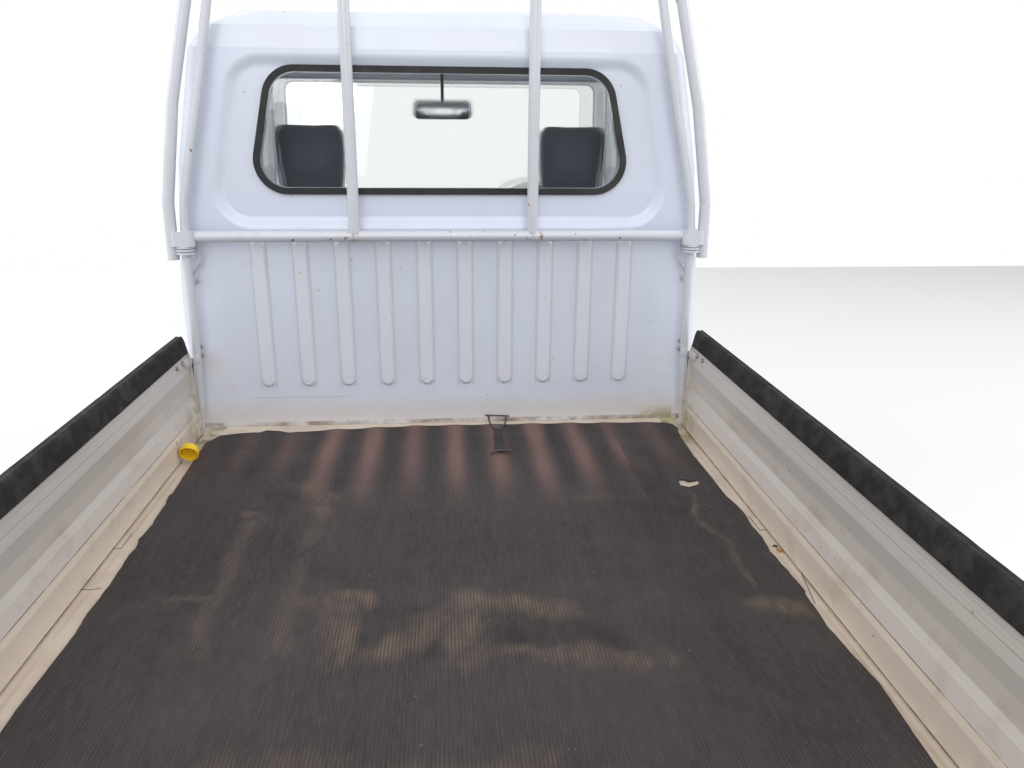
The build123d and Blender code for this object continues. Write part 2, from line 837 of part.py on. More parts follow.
def sill_hinge(x):
    """Fixed barrels, webs and pin, drawn along X about the origin; +Y is outward."""
    got = rod_x(x - barrel_end, x + barrel_end, 0, 0, pin_radius)
    for low, high in ((x - barrel_end, x - barrel_mid), (x + barrel_mid, x + barrel_end)):
        got += rod_x(low, high, 0, 0, barrel_radius)
        got += box(low, high, -13, 0, -6, 5)
    return got


def gate_hinge(x):
    """Moving barrel and its web, drawn the same way."""
    low = x - barrel_mid + barrel_gap
    high = x + barrel_mid - barrel_gap
    got = rod_x(low, high, 0, 0, barrel_radius)
    got += box(low, high, -6, 6, 0, gate_low - gate_pin_z + 4)
    return got - rod_x(low, high, 0, 0, pin_radius + pin_play)


tail_place = Pos(0, tail_pin_y, gate_pin_z)
side_place = Pos(gate_pin_x, 0, gate_pin_z) * Rot(0, 0, -90)
for y in side_hinges:
    bed_floor += both(side_place * sill_hinge(-y))
for x in tail_hinges:
    bed_floor += tail_place * sill_hinge(x)

# Rope hooks under the sills
hook_x = sill_face - 14
hook_bar = 3.5
hook_count = 5
hook_spacing = (bed_length - 340) / (hook_count - 1)
hook = tube(
    [(hook_x, 0, sill_low), (hook_x, 0, sill_low - 20), (hook_x + 10.5, 0, sill_low - 20), (hook_x + 10.5, 0, sill_low - 6)],
    hook_bar,
    5,
)
rope_hooks = Part()
for number in range(hook_count):
    y = bed_front + 170 + number * hook_spacing
    if abs(y - rear_axle_y) > arch_radius:
        rope_hooks += both(Pos(0, y, 0) * hook)

mat_thick = 5
mat_edge = [
    (63.5, 26.5),
    (65.5, 94.5),
    (94.5, 554.5),
    (77.5, 774.5),
    (97.5, 1394.5),
    (101.5, 1894.5),
]
mat_right = [(87.5, 1894.5), (71.5, 1204.5), (89.5, 1014.5), (87.5, 594.5), (54.5, 134.5), (57.5, 26.5)]
bed_mat = along_z(
    outline(
        [
            *[(half_width - drop, bed_front + back) for drop, back in mat_edge],
            *[(drop - half_width, bed_front + back) for drop, back in mat_right],
        ]
    ),
    floor_top,
    floor_top + mat_thick,
)

# Side gate: inner face of its section from the bottom up as (drop from half_width, height)
inner_face = [
    (45.5, gate_low),
    (44.5, floor_top + 60),
    (33.5, floor_top + 105),
    (23.5, floor_top + 118),
    (23.5, floor_top + 152),
    (28.5, floor_top + 188),
    (24.5, gate_top - 45),
    (22.5, gate_top - 12),
]
gate_section = [(half_width - drop, z) for drop, z in inner_face]
gate_section += [(gate_face, gate_top - 12), (gate_face, gate_low)]
side_gate = along_y(outline(gate_section), gate_front, gate_rear)
stamp_depth = 5
stamp_low = gate_low + 45
stamp_high = gate_top - 60
stamp_count = 4
stamp_pitch = (gate_rear - gate_front - 80) / stamp_count
for number in range(stamp_count):
    start = gate_front + 40 + number * stamp_pitch
    stamp = outline(
        [
            (start + 25, stamp_low),
            (start + stamp_pitch - 25, stamp_low),
            (start + stamp_pitch - 25, stamp_high),
            (start + 25, stamp_high),
        ],
        18,
    )
    side_gate -= along_x(stamp, gate_face - stamp_depth, half_width + 10)
for y in side_hinges:
    side_gate += side_place * gate_hinge(-y)
end_plate = outline(
    [
        (half_width - 45.5, gate_low),
        (half_width - 44.5, floor_top + 60),
        (half_width - 34.5, gate_top - 60),
        (half_width - 22.5, gate_top - 20),
        (half_width - 10, gate_top - 20),
        (half_width - 10, gate_low),
    ]
)
side_gate += along_y(end_plate, gate_front, gate_front + 3)
tab_z = gate_top - 77
side_gate += box(half_width - 35.5, half_width - 20, gate_front - 10, gate_front + 34, tab_z - 6, tab_z + 6)
pad_section = [
    (half_width - 31.5, gate_top - 50),
    (half_width - 24.5, gate_top - 50),
    (half_width - 22.5, gate_top - 12),
    (gate_face, gate_top - 12),
    (gate_face, gate_top - 20),
    (half_width, gate_top - 20),
    (half_width, gate_top),
    (half_width - 19.5, gate_top),
    (half_width - 28.5, gate_top - 25),
]
gate_pad = along_y(outline(pad_section), gate_front + 4, gate_rear - 4)
gate_pad -= side_gate

# Tailgate with a shallow panel let into each face and a latch at each end
tail_inner = bed_rear
tail_outer = bed_rear + gate_thick
panel_half = half_width - 47.5
tailgate = box(-half_width, half_width, tail_inner, tail_outer, gate_low, gate_top)
tailgate -= box(-panel_half, panel_half, tail_inner - 1, tail_inner + 8, gate_low + 60, gate_top - 45)
tail_count = 3
tail_pitch = 2 * panel_half / tail_count
for number in range(tail_count):
    start = -panel_half + number * tail_pitch
    stamp = outline(
        [
            (start + 20, stamp_low),
            (start + tail_pitch - 20, stamp_low),
            (start + tail_pitch - 20, stamp_high),
            (start + 20, stamp_high),
        ],
        18,
    )
    tailgate -= along_y(stamp, tail_outer - stamp_depth, tail_outer + 10)
for x in tail_hinges:
    tailgate += tail_place * gate_hinge(x)
latch_far = half_width - 17.5
latch_plan = outline(
    [
        (latch_far, tail_outer),
        (latch_far - 70, tail_outer),
        (latch_far - 70, tail_outer + 8),
        (latch_far - 22, rear_end),
        (latch_far, rear_end),
    ]
)
latch = along_z(latch_plan, gate_top - 45, gate_top - 22)
latch += rod_z(latch_far - 12, (tail_outer + rear_end) / 2, gate_top - 54, gate_top - 13, 7)
tailgate += both(latch)

# Guard frame of bent bar standing on the bed corners: drop from half_width, rise over the floor
crossbar_rise = 556
upright_x = 241
bow_rows = [(15.5, 495), (17.5, 645), (56.5, 897), (127.5, guard_rise)]
post_rows = [
    (34.5, 4),
    (41.5, 85),
    (49.5, 301),
    (49.5, 535),
    (57.5, 639),
    (87.5, 778),
    (115.5, 895),
    (177.5, guard_rise),
]
bow = [(half_width - drop, guard_y, floor_top + rise) for drop, rise in bow_rows]
post = [(half_width - drop, guard_y, floor_top + rise) for drop, rise in post_rows]
clamp_x = half_width - 50.5
crossbar_z = floor_top + crossbar_rise
guard_top = floor_top + guard_rise
half_guard = tube([*bow, (0, guard_y, guard_top)], main_tube, 60)
half_guard += tube(post, post_tube, 100)
half_guard += rod_z(upright_x, guard_y, crossbar_z, guard_top, main_tube)
clamp_plan = outline(
    [
        (half_width - 78.5, guard_y - 24),
        (half_width - 17.5, guard_y - 24),
        (half_width - 17.5, guard_y + 24),
        (half_width - 78.5, guard_y + 24),
    ],
    14,
)
clamp_low = crossbar_z - 24
half_guard += along_z(clamp_plan, clamp_low, crossbar_z + 15)
for number in range(3):
    ring_top = clamp_low - 8 * number
    half_guard += rod_z(half_width - 49.5, guard_y, ring_top - 6, ring_top, 25)
half_guard += rod_y(upright_x, bed_front, guard_y, crossbar_z, 9)
half_guard += box(half_width - 47.5, sill_face, guard_y - 20, guard_y + 12, floor_top, floor_top + 6)
guard_frame = both(half_guard) + rod_x(-clamp_x, clamp_x, guard_y, crossbar_z, main_tube)

tail_lamps = both(box(sill_face - 155, sill_face - 10, rear_end - 97.5, rear_end - 47.5, sill_low - 90, sill_low))
flap_y = rear_axle_y + 305.5
mud_flaps = both(box(wheel_house_wall + 170, sill_face - 3, flap_y, flap_y + 6, axle_height - 81, sill_low))

nodes = {
    "cab_frame": cab_frame,
    "cab_roof": cab_roof,
    "cab_back_panel": cab_back_panel,
    "cab_front_panel": cab_front_panel,
    "front_bumper": front_bumper,
    "turn_lamps": turn_lamps,
    "headlamps": headlamps,
    "windscreen": windscreen,
    "rear_window": rear_window,
    "rear_window_seal": rear_window_seal,
    "cab_floor": cab_floor,
    "wheel_houses": wheel_houses,
    "dashboard": dashboard,
    "steering_wheel": steering_wheel,
    "seat_cushions": seat_cushions,
    "seat_backs": seat_backs,
    "cab_mirror": cab_mirror,
    "frame_rails": frame_rails,
    "rail_members": rail_members,
    "rail_brackets": rail_brackets,
    "leaf_springs": leaf_springs,
    "rear_axle": rear_axle,
    "prop_shaft": prop_shaft,
    "front_suspension": front_suspension,
    "front_struts": front_struts,
    "lower_arms": lower_arms,
    "steering_rack": steering_rack,
    "engine_block": engine_block,
    "exhaust": exhaust,
    "fuel_tank": fuel_tank,
    "spare_wheel": spare_wheel,
    "bed_floor": bed_floor,
    "bed_beams": bed_beams,
    "rope_hooks": rope_hooks,
    "bed_mat": bed_mat,
    "tailgate": tailgate,
    "guard_frame": guard_frame,
    "tail_lamps": tail_lamps,
    "mud_flaps": mud_flaps,
}
pairs = {
    "door": door,
    "door_glass": door_glass,
    "door_mirror": door_mirror,
    "knuckle": knuckle,
    "side_gate": side_gate,
    "gate_pad": gate_pad,
    "tyre_front": Pos(track_half, front_axle, axle_height) * tyre,
    "rim_front": Pos(track_half, front_axle, axle_height) * rim,
    "tyre_rear": Pos(track_half, rear_axle_y, axle_height) * tyre,
    "rim_rear": Pos(track_half, rear_axle_y, axle_height) * rim,
}
for name, shape in pairs.items():
    nodes[name + "_left"] = shape
    nodes[name + "_right"] = flip(shape)

os.makedirs("parts", exist_ok=True)
for name, shape in nodes.items():
    export_step(shape, f"parts/{name}.step")
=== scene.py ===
import json
import math

import bpy
from mathutils import Matrix, Vector, noise
from mathutils.bvhtree import BVHTree


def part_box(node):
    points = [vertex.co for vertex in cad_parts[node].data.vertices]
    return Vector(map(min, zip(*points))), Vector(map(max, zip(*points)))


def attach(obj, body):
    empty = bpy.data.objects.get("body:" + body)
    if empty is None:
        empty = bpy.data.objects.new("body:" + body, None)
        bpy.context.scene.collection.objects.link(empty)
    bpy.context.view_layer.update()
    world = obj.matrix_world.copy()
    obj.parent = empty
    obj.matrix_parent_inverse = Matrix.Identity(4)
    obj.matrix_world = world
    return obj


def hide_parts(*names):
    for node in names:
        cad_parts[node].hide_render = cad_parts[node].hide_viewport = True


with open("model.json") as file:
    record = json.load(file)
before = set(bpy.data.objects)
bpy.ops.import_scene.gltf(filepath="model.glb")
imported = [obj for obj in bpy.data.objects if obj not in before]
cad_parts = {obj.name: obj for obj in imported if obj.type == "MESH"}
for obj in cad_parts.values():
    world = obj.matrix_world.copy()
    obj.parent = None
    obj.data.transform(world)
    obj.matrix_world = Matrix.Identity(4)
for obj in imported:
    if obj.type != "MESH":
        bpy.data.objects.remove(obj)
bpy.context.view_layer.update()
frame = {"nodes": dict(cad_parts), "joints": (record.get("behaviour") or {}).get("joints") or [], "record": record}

print("frame loaded:", len(frame["nodes"]), "nodes")

sides = {"left": 1, "right": -1}  # the truck's left is at +X
axes = {"X": Vector((1, 0, 0)), "Y": Vector((0, 1, 0)), "Z": Vector((0, 0, 1))}
beadPitch = 0.1132  # between the raised beads of the wall, and between the ridges of the bed


# small helpers for modelling by hand

def clearSelection():
    if bpy.context.mode != "OBJECT":
        bpy.ops.object.mode_set(mode="OBJECT")
    bpy.ops.object.select_all(action="DESELECT")


def makeActive(piece):
    clearSelection()
    piece.select_set(True)
    bpy.context.view_layer.objects.active = piece


def newPiece(name):  # names the piece that was just added
    piece = bpy.context.active_object
    piece.name = name
    return piece


def editAll(piece):  # edit mode with all of the mesh selected
    makeActive(piece)
    bpy.ops.object.mode_set(mode="EDIT")
    bpy.ops.mesh.select_all(action="SELECT")


def leaveEdit():
    bpy.ops.object.mode_set(mode="OBJECT")


def mergeDoubles(threshold):
    bpy.ops.mesh.select_all(action="SELECT")
    bpy.ops.mesh.remove_doubles(threshold=threshold)
    bpy.ops.mesh.normals_make_consistent(inside=False)


def pick(piece, kind, wanted):  # leaves edit mode on with only the wanted items selected
    bpy.ops.object.mode_set(mode="EDIT")
    bpy.ops.mesh.select_mode(type=kind)
    bpy.ops.mesh.select_all(action="DESELECT")
    leaveEdit()
    items = {"FACE": piece.data.polygons, "VERT": piece.data.vertices}[kind]
    for item in items:
        item.select = wanted(item)
    bpy.ops.object.mode_set(mode="EDIT")


def deleteWhere(piece, kind, unwanted):
    pick(piece, kind, unwanted)
    bpy.ops.mesh.delete(type=kind)
    leaveEdit()


def applyModifier(piece, kind, **settings):
    makeActive(piece)
    modifier = piece.modifiers.new(kind.lower(), kind)
    for key, value in settings.items():
        setattr(modifier, key, value)
    bpy.ops.object.modifier_apply(modifier=modifier.name)


def roundOff(name, bevel, segments):  # names the new piece and takes its edges off
    piece = newPiece(name)
    bpy.ops.object.transform_apply(location=True, rotation=True, scale=True)
    if bevel:
        applyModifier(piece, "BEVEL", width=bevel, segments=segments, limit_method="ANGLE")
    return piece


def addBlock(name, centre, size, bevel=0.002, segments=2):
    clearSelection()
    bpy.ops.mesh.primitive_cube_add(size=1, location=centre, scale=size)
    return roundOff(name, bevel, segments)


def addDisc(name, centre, radius, depth, axis="Z", vertices=32, bevel=0.001):
    clearSelection()
    turn = {"X": (0, math.pi / 2, 0), "Y": (math.pi / 2, 0, 0), "Z": (0, 0, 0)}[axis]
    bpy.ops.mesh.primitive_cylinder_add(vertices=vertices, radius=radius, depth=depth, location=centre, rotation=turn)
    return roundOff(name, bevel, 2)


def addGrid(name, columns, rows):  # a flat square of one metre, to be laid out vertex by vertex
    clearSelection()
    bpy.ops.mesh.primitive_grid_add(x_subdivisions=columns, y_subdivisions=rows, size=1)
    return newPiece(name)


def addWire(name, points, radius, smooth=True, closed=False):  # round wire along points
    clearSelection()
    bpy.ops.curve.primitive_nurbs_path_add()
    curve = newPiece(name).data
    curve.splines.clear()
    line = curve.splines.new("NURBS" if smooth else "POLY")
    line.points.add(len(points) - 1)
    for point, spot in zip(line.points, points):
        point.co = (*spot, 1)
    if smooth:
        line.order_u = 3
        line.use_endpoint_u = not closed
    line.use_cyclic_u = closed
    curve.bevel_depth = radius
    curve.bevel_resolution = 3
    curve.resolution_u = 8
    curve.use_fill_caps = True
    bpy.ops.object.convert(target="MESH")
    return newPiece(name)


def addBolt(name, centre, radius, height, axis):  # hexagon head on a washer
    line = axis[-1]
    washer = addDisc(name + ".washer", centre, radius * 1.35, height * 0.3, line, 20, radius * 0.06)
    shift = -axes[line] if axis[0] == "-" else axes[line]
    head = addDisc(name + ".head", Vector(centre) + shift * height * 0.62, radius, height, line, 6, radius * 0.12)
    return joinPieces(name, [washer, head])


def turnProfile(name, points, centre, axis, steps):  # closed profile of offset and radius, spun about an axis
    clearSelection()
    bpy.ops.mesh.primitive_circle_add(vertices=len(points), radius=0.1, fill_type="NOTHING")
    piece = newPiece(name)
    across = axes["X"] if axis == "Z" else axes["Z"]
    for vertex, (offset, radius) in zip(piece.data.vertices, points):
        vertex.co = Vector(centre) + axes[axis] * offset + across * radius
    editAll(piece)
    bpy.ops.mesh.spin(steps=steps, angle=2 * math.pi, center=centre, axis=tuple(axes[axis]))
    mergeDoubles(0.00005)
    leaveEdit()
    return piece


def joinPieces(name, pieces):
    clearSelection()
    for piece in pieces:
        piece.select_set(True)
    bpy.context.view_layer.objects.active = pieces[0]
    bpy.ops.object.join()
    pieces[0].name = name
    return pieces[0]


def shiftCopy(piece, name, move):  # another of the same, moved, with its own mesh
    makeActive(piece)
    bpy.ops.object.duplicate()
    twin = newPiece(name)
    for vertex in twin.data.vertices:
        vertex.co += Vector(move)
    return twin


def copyNode(nodeName, name, keep):  # a merged copy of part of a CAD node, to be worked on as a new piece
    piece = bpy.data.objects.new(name, frame["nodes"][nodeName].data.copy())
    bpy.context.scene.collection.objects.link(piece)
    editAll(piece)
    bpy.ops.mesh.remove_doubles(threshold=0.00002)
    leaveEdit()
    deleteWhere(piece, "VERT", lambda vertex: not keep(vertex.co))
    return piece


def place(piece, body, slotName, smooth=35):  # settles a finished piece on its body with its finish
    makeActive(piece)
    bpy.ops.object.transform_apply(location=True, rotation=True, scale=True)
    bpy.ops.object.shade_smooth_by_angle(angle=math.radians(smooth))
    piece.data.materials.clear()
    piece.data.materials.append(finishes[slotName])
    nearestSlot.get(slotName, slotName)
    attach(piece, body)


def placeJoined(name, pieces, body, slotName, smooth):
    place(joinPieces(name, pieces), body, slotName, smooth)


def onBothSides(*makers):
    for side in sides:
        for make in makers:
            make(side)


# where things are: faces, halves and outlines of the CAD nodes

surfaces = {}


def hit(nodeName, start, direction):  # where a straight line first meets a CAD node
    if nodeName not in surfaces:
        mesh = frame["nodes"][nodeName].data
        corners = [v.co.copy() for v in mesh.vertices]
        surfaces[nodeName] = BVHTree.FromPolygons(corners, [tuple(p.vertices) for p in mesh.polygons])
    return surfaces[nodeName].ray_cast(Vector(start), Vector(direction))[0]


def hitFromFront(nodeName, x, z):
    return hit(nodeName, (x, -3, z), axes["Y"])


def hitFromRear(nodeName, x, z, start=0):
    return hit(nodeName, (x, start, z), -axes["Y"])


def hitFromSide(nodeName, startX, y, z, sign):  # sign is the way the line runs along X
    return hit(nodeName, (startX, y, z), axes["X"] * sign)


def halfBox(nodeName, side):  # lowest and highest corner of the node's left or right half
    corners = [v.co for v in frame["nodes"][nodeName].data.vertices if v.co.x * sides[side] > 0]
    low = Vector([min(c[axis] for c in corners) for axis in range(3)])
    high = Vector([max(c[axis] for c in corners) for axis in range(3)])
    return low, high


def outlineOf(nodeName, first, second):  # the node's outermost corners in order, seen along the third axis
    corners = frame["nodes"][nodeName].data.vertices
    flat = sorted({(round(v.co[first], 4), round(v.co[second], 4)): v.co.copy() for v in corners}.items())

    def bendsIn(chain, spot):
        (startX, startY), (endX, endY) = chain[-2][0], chain[-1][0]
        return (endX - startX) * (spot[1] - startY) - (endY - startY) * (spot[0] - startX) <= 0

    outline = []
    for items in (flat, reversed(flat)):
        chain = []
        for item in items:
            while len(chain) >= 2 and bendsIn(chain, item[0]):
                chain.pop()
            chain.append(item)
        outline += [corner for key, corner in chain[:-1]]
    return outline


# finishes: the parts that every recipe uses

stripeAtOne = 0.31416  # width of one stripe of the wave texture at a scale of 1


def startFinish(name):
    finish = bpy.data.materials.new(name)
    finish.use_nodes = True
    return finish, finish.node_tree, finish.node_tree.nodes["Principled BSDF"]


def feed(graph, node, inputs):  # gives each input its link, its colour or its plain value
    for name, value in inputs.items():
        socket = node.inputs[name]
        if isinstance(value, bpy.types.NodeSocket):
            graph.links.new(value, socket)
        else:
            socket.default_value = (*value, 1) if socket.type == "RGBA" else value


def addNode(graph, kind, inputs, **settings):
    node = graph.nodes.new("ShaderNode" + kind)
    for key, value in settings.items():
        setattr(node, key, value)
    feed(graph, node, inputs)
    return node.outputs


def objectPlace(graph):
    return addNode(graph, "TexCoord", {})["Object"]


def objectNoise(graph, scale, detail=4, roughness=0.55, stretch=(1, 1, 1)):
    stretched = addNode(graph, "Mapping", {"Vector": objectPlace(graph), "Scale": stretch})["Vector"]
    grain = {"Vector": stretched, "Scale": scale, "Detail": detail, "Roughness": roughness}
    return addNode(graph, "TexNoise", grain)["Fac"]


def stripes(graph, direction, width, ripple=0):
    wave = {"Vector": objectPlace(graph), "Scale": stripeAtOne / width, "Distortion": ripple, "Detail": 1}
    return addNode(graph, "TexWave", wave, bands_direction=direction)["Fac"]


def spread(graph, source, low, high, outLow=0.0, outHigh=1.0):  # stretches a value to a new range
    levels = {"Value": source, "From Min": low, "From Max": high, "To Min": outLow, "To Max": outHigh}
    return addNode(graph, "MapRange", levels)["Result"]


def noiseLevel(graph, grain, *levels):  # noise of scale, detail and so on, stretched between two levels
    return spread(graph, objectNoise(graph, *grain), *levels)


def blendColours(graph, amount, first, second):
    return addNode(graph, "Mix", {0: amount, 6: first, 7: second}, data_type="RGBA")[2]


def times(graph, first, second):
    return addNode(graph, "Math", {0: first, 1: second}, operation="MULTIPLY", use_clamp=True)[0]


def addBump(graph, shader, height, strength, distance=0.001):
    bump = addNode(graph, "Bump", {"Height": height, "Strength": strength, "Distance": distance})
    feed(graph, shader, {"Normal": bump["Normal"]})


def placeValue(graph, name):  # X, Y, Z, the distance from the middle line, or how far inside a wall bead
    spot = addNode(graph, "SeparateXYZ", {"Vector": objectPlace(graph)})
    if name in axes:
        return spot[name]
    if name == "side":
        return addNode(graph, "Math", {0: spot["X"]}, operation="ABSOLUTE")[0]
    return addNode(graph, "Math", {0: spot["X"], 1: beadPitch / 2}, operation="PINGPONG")[0]


def mark(colour, strength, grain=None, **within):  # within gives low, high and softness for each placeValue
    return {"colour": colour, "strength": strength, "grain": grain, "within": within}


def addMark(graph, colour, values):  # a tint between levels, broken up by noise where it has a grain
    amount = values["strength"]
    for name, (low, high, soft) in values["within"].items():
        spot = placeValue(graph, name)
        rise = spread(graph, spot, low - soft, low)
        fall = spread(graph, spot, high, high + soft, 1, 0)
        amount = times(graph, times(graph, rise, fall), amount)
    if values["grain"]:
        scale, low, high = values["grain"]
        amount = times(graph, amount, noiseLevel(graph, (scale, 5, 0.6), low, high))
    return blendColours(graph, amount, colour, values["colour"])


# the recipes

def enamel(name, values):  # paint with faint mottling, dirt that gathers low down, chips, and marks of its own
    finish, graph, shader = startFinish(name)
    mottle = noiseLevel(graph, (3.5, 5), 0.35, 0.7)
    colour = blendColours(graph, mottle, values["colour"], values["shade"])
    grime = noiseLevel(graph, (14, 8, 0.65), 0.42, 0.72)
    lowDown = spread(graph, placeValue(graph, "Z"), *values["dirtHeights"], 1, 0)
    dirt = times(graph, times(graph, grime, lowDown), values["dirt"])
    colour = blendColours(graph, dirt, colour, values["dirtColour"])
    chips = noiseLevel(graph, (38, 3, 0.5), values["chipLevel"], values["chipLevel"] + 0.02)
    colour = blendColours(graph, chips, colour, values["chipColour"])
    # some of these marks are painted shade, in the recess, creases, grooves and under the gate's band
    for ownMark in values.get("marks", ()):
        colour = addMark(graph, colour, ownMark)
    gloss = noiseLevel(graph, (9, 6), 0.3, 0.75, values["rough"] - 0.06, values["rough"] + 0.12)
    feed(graph, shader, {"Base Color": colour, "Roughness": gloss, "Metallic": values.get("metal", 0),
                         "Coat Weight": 0.25, "Coat Roughness": 0.12})
    addBump(graph, shader, objectNoise(graph, 260, 2), 0.12, 0.0006)
    return finish


def softBlack(name, values):  # rubber, foam, tyre and moulded plastic
    finish, graph, shader = startFinish(name)
    dust = noiseLevel(graph, (values["dustScale"], 7, 0.62), 0.45, 0.75)
    colour = blendColours(graph, times(graph, dust, values["dust"]), values["colour"], values["dustColour"])
    rough = noiseLevel(graph, (22, 5), 0.3, 0.7, values["rough"] - 0.08, values["rough"] + 0.08)
    feed(graph, shader, {"Base Color": colour, "Roughness": rough, "Specular IOR Level": values.get("shine", 0.5)})
    addBump(graph, shader, objectNoise(graph, values["grain"], 3), values["grainStrength"], 0.0008)
    return finish


def ribbedMat(name, values):  # fine ribs along the truck, with painted shade in their grooves; wear with a painted sheen on the ridges, dust and painted shade come with the mat's own marks
    finish, graph, shader = startFinish(name)
    ribs = stripes(graph, "X", values["ribPitch"])
    marks = addNode(graph, "Attribute", {}, attribute_name="matMarks")["Color"]
    wearAndSheen, dust, shade = (addNode(graph, "SeparateColor", {0: marks})[number] for number in range(3))
    blotches = noiseLevel(graph, (3.4, 8, 0.66), 0.38, 0.72)
    colour = blendColours(graph, times(graph, blotches, 0.8), values["colour"], values["paleColour"])
    streaks = noiseLevel(graph, (30, 7, 0.7, (1, 0.10, 1)), 0.36, 0.70)
    threads = noiseLevel(graph, (240, 3, 0.6, (1, 0.16, 1)), 0.42, 0.68)
    ribTops = spread(graph, ribs, 0.15, 0.75, 0.45, 1.0)
    grit = noiseLevel(graph, (70, 6, 0.7, (1, 0.35, 1)), 0.30, 0.62, 0.45, 1.0)
    dust = times(graph, times(graph, dust, ribTops), grit)
    grooves = spread(graph, ribs, 0.0, 0.30, 0.30, 0.0)
    specks = noiseLevel(graph, (85, 2, 0.5), 0.765, 0.79)
    for amount, share, tint in (
        (streaks, 0.4, "streakColour"), (threads, 0.55, "streakColour"), (wearAndSheen, values["wearAndSheen"], "wearAndSheenColour"),
        (dust, values["dust"], "dustColour"), (shade, 0.7, "shadeColour"), (grooves, 1, "shadeColour"),
        (specks, 1, "dustColour"),
    ):
        colour = blendColours(graph, times(graph, amount, share), colour, values[tint])
    rough = noiseLevel(graph, (8, 6), 0.3, 0.7, 0.60, 0.85)
    feed(graph, shader, {"Base Color": colour, "Roughness": rough, "Specular IOR Level": 0.22})
    addBump(graph, shader, ribs, 0.4, 0.0014)
    return finish


def clearGlass(name, values):
    finish, graph, shader = startFinish(name)
    smears = noiseLevel(graph, (6, 6), 0.4, 0.8, 0.01, 0.09)
    feed(graph, shader, {"Base Color": values["colour"], "Roughness": smears, "Transmission Weight": 1,
                         "IOR": 1.3, "Alpha": values["alpha"]})
    addBump(graph, shader, objectNoise(graph, 12, 2), 0.02, 0.0005)
    return finish


def lampLens(name, values):  # moulded lens with upright flutes
    finish, graph, shader = startFinish(name)
    flutes = stripes(graph, "X", values["flutePitch"])
    tint = times(graph, spread(graph, flutes, 0, 1), 0.35)
    rough = noiseLevel(graph, (9, 4), 0.3, 0.8, 0.06, 0.16)
    feed(graph, shader, {"Base Color": blendColours(graph, tint, values["colour"], values["shade"]),
                         "Roughness": rough, "Transmission Weight": values["through"],
                         "Alpha": values.get("alpha", 1), "Coat Weight": 0.6})
    addBump(graph, shader, flutes, 0.35, 0.0012)
    return finish


def wovenCloth(name, values):
    finish, graph, shader = startFinish(name)
    weave = times(graph, *(stripes(graph, direction, values["threadPitch"], 0.6) for direction in ("X", "Y")))
    colour = blendColours(graph, weave, values["colour"], values["shade"])
    fade = noiseLevel(graph, (5, 5), 0.4, 0.75)
    colour = blendColours(graph, times(graph, fade, 0.4), colour, values["worn"])
    feed(graph, shader, {"Base Color": colour, "Roughness": 0.85, "Sheen Weight": 0.25})
    addBump(graph, shader, weave, 0.5, 0.0008)
    return finish


def bareMetal(name, values):
    finish, graph, shader = startFinish(name)
    rust = noiseLevel(graph, (values["rustScale"], 8, 0.66), values["rustLevel"], values["rustLevel"] + 0.14)
    rough = noiseLevel(graph, (30, 5), 0.3, 0.7, values["rough"] - 0.08, values["rough"] + 0.15)
    feed(graph, shader, {"Base Color": blendColours(graph, rust, values["colour"], values["rustColour"]),
                         "Metallic": spread(graph, rust, 0, 1, values["metal"], 0.1), "Roughness": rough})
    addBump(graph, shader, objectNoise(graph, values["grain"], 4), 0.25, 0.0008)
    return finish


# marks in the paint, some of them painted shade, each with its colour, strength and place

rustBrown = (0.16, 0.055, 0.02)
gateInside = (-1, 0.7225, 0.004)
bedInside = (-1, 0.7090, 0.0008)
bedTop = (0.6585, 0.70, 0.0005)
behindCab = (-0.34, 0.0, 0.01)
cornerInside = (-1, 0.705, 0.008)
wallMarksAndShade = [
    mark((0.64, 0.63, 0.68), 0.60, bead=(0.0370, 1, 0.004), Z=(0.790, 1.200, 0.010), X=(-0.54, 0.54, 0.01)),
    mark((0.57, 0.53, 0.50), 0.72, Z=(0.600, 0.700, 0.050)),
    # painted shade: the lower part of the window's recess darkened
    mark((0.565, 0.60, 0.715), 0.7, Z=(1.226, 1.318, 0.016), side=(-1, 0.60, 0.04)),
    # painted shade: a thin dark line in place of a faint crease across the wall
    mark((0.38, 0.39, 0.46), 0.45, Z=(0.7456, 0.7470, 0.0025), X=(0.30, 0.54, 0.04)),
    mark((0.34, 0.32, 0.31), 0.45, (150, 0.54, 0.66), bead=(0.0370, 1, 0.004), Z=(0.780, 0.800, 0.012),
         side=(-1, 0.54, 0.01)),
    # painted shade: dark lines along both edges of each bead
    mark((0.40, 0.41, 0.47), 0.40, bead=(0.0335, 0.0375, 0.0020), Z=(0.782, 1.200, 0.006), side=(-1, 0.545, 0.006)),
    mark((0.20, 0.14, 0.09), 0.85, (16, 0.38, 0.58), Z=(0.640, 0.6690, 0.0050)),
    mark((0.24, 0.22, 0.09), 0.75, (22, 0.35, 0.60), X=(-0.72, -0.61, 0.06), Z=(0.60, 0.675, 0.030)),
    mark((0.52, 0.42, 0.34), 0.45, (9, 0.45, 0.75), side=(0.60, 0.80, 0.05), Z=(0.66, 0.86, 0.06)),
    mark((0.28, 0.25, 0.24), 0.8, (64, 0.700, 0.715), Z=(0.70, 1.22, 0.02)),
]
cornerMarks = [
    mark((0.55, 0.50, 0.46), 0.75, Y=behindCab, Z=(0.600, 0.700, 0.050), side=cornerInside),
    mark((0.20, 0.14, 0.09), 0.85, (16, 0.38, 0.58), Y=behindCab, Z=(0.640, 0.6690, 0.0060), side=cornerInside),
    mark((0.52, 0.42, 0.34), 0.45, (9, 0.45, 0.75), Y=behindCab, Z=(0.66, 0.86, 0.06), side=cornerInside),
]
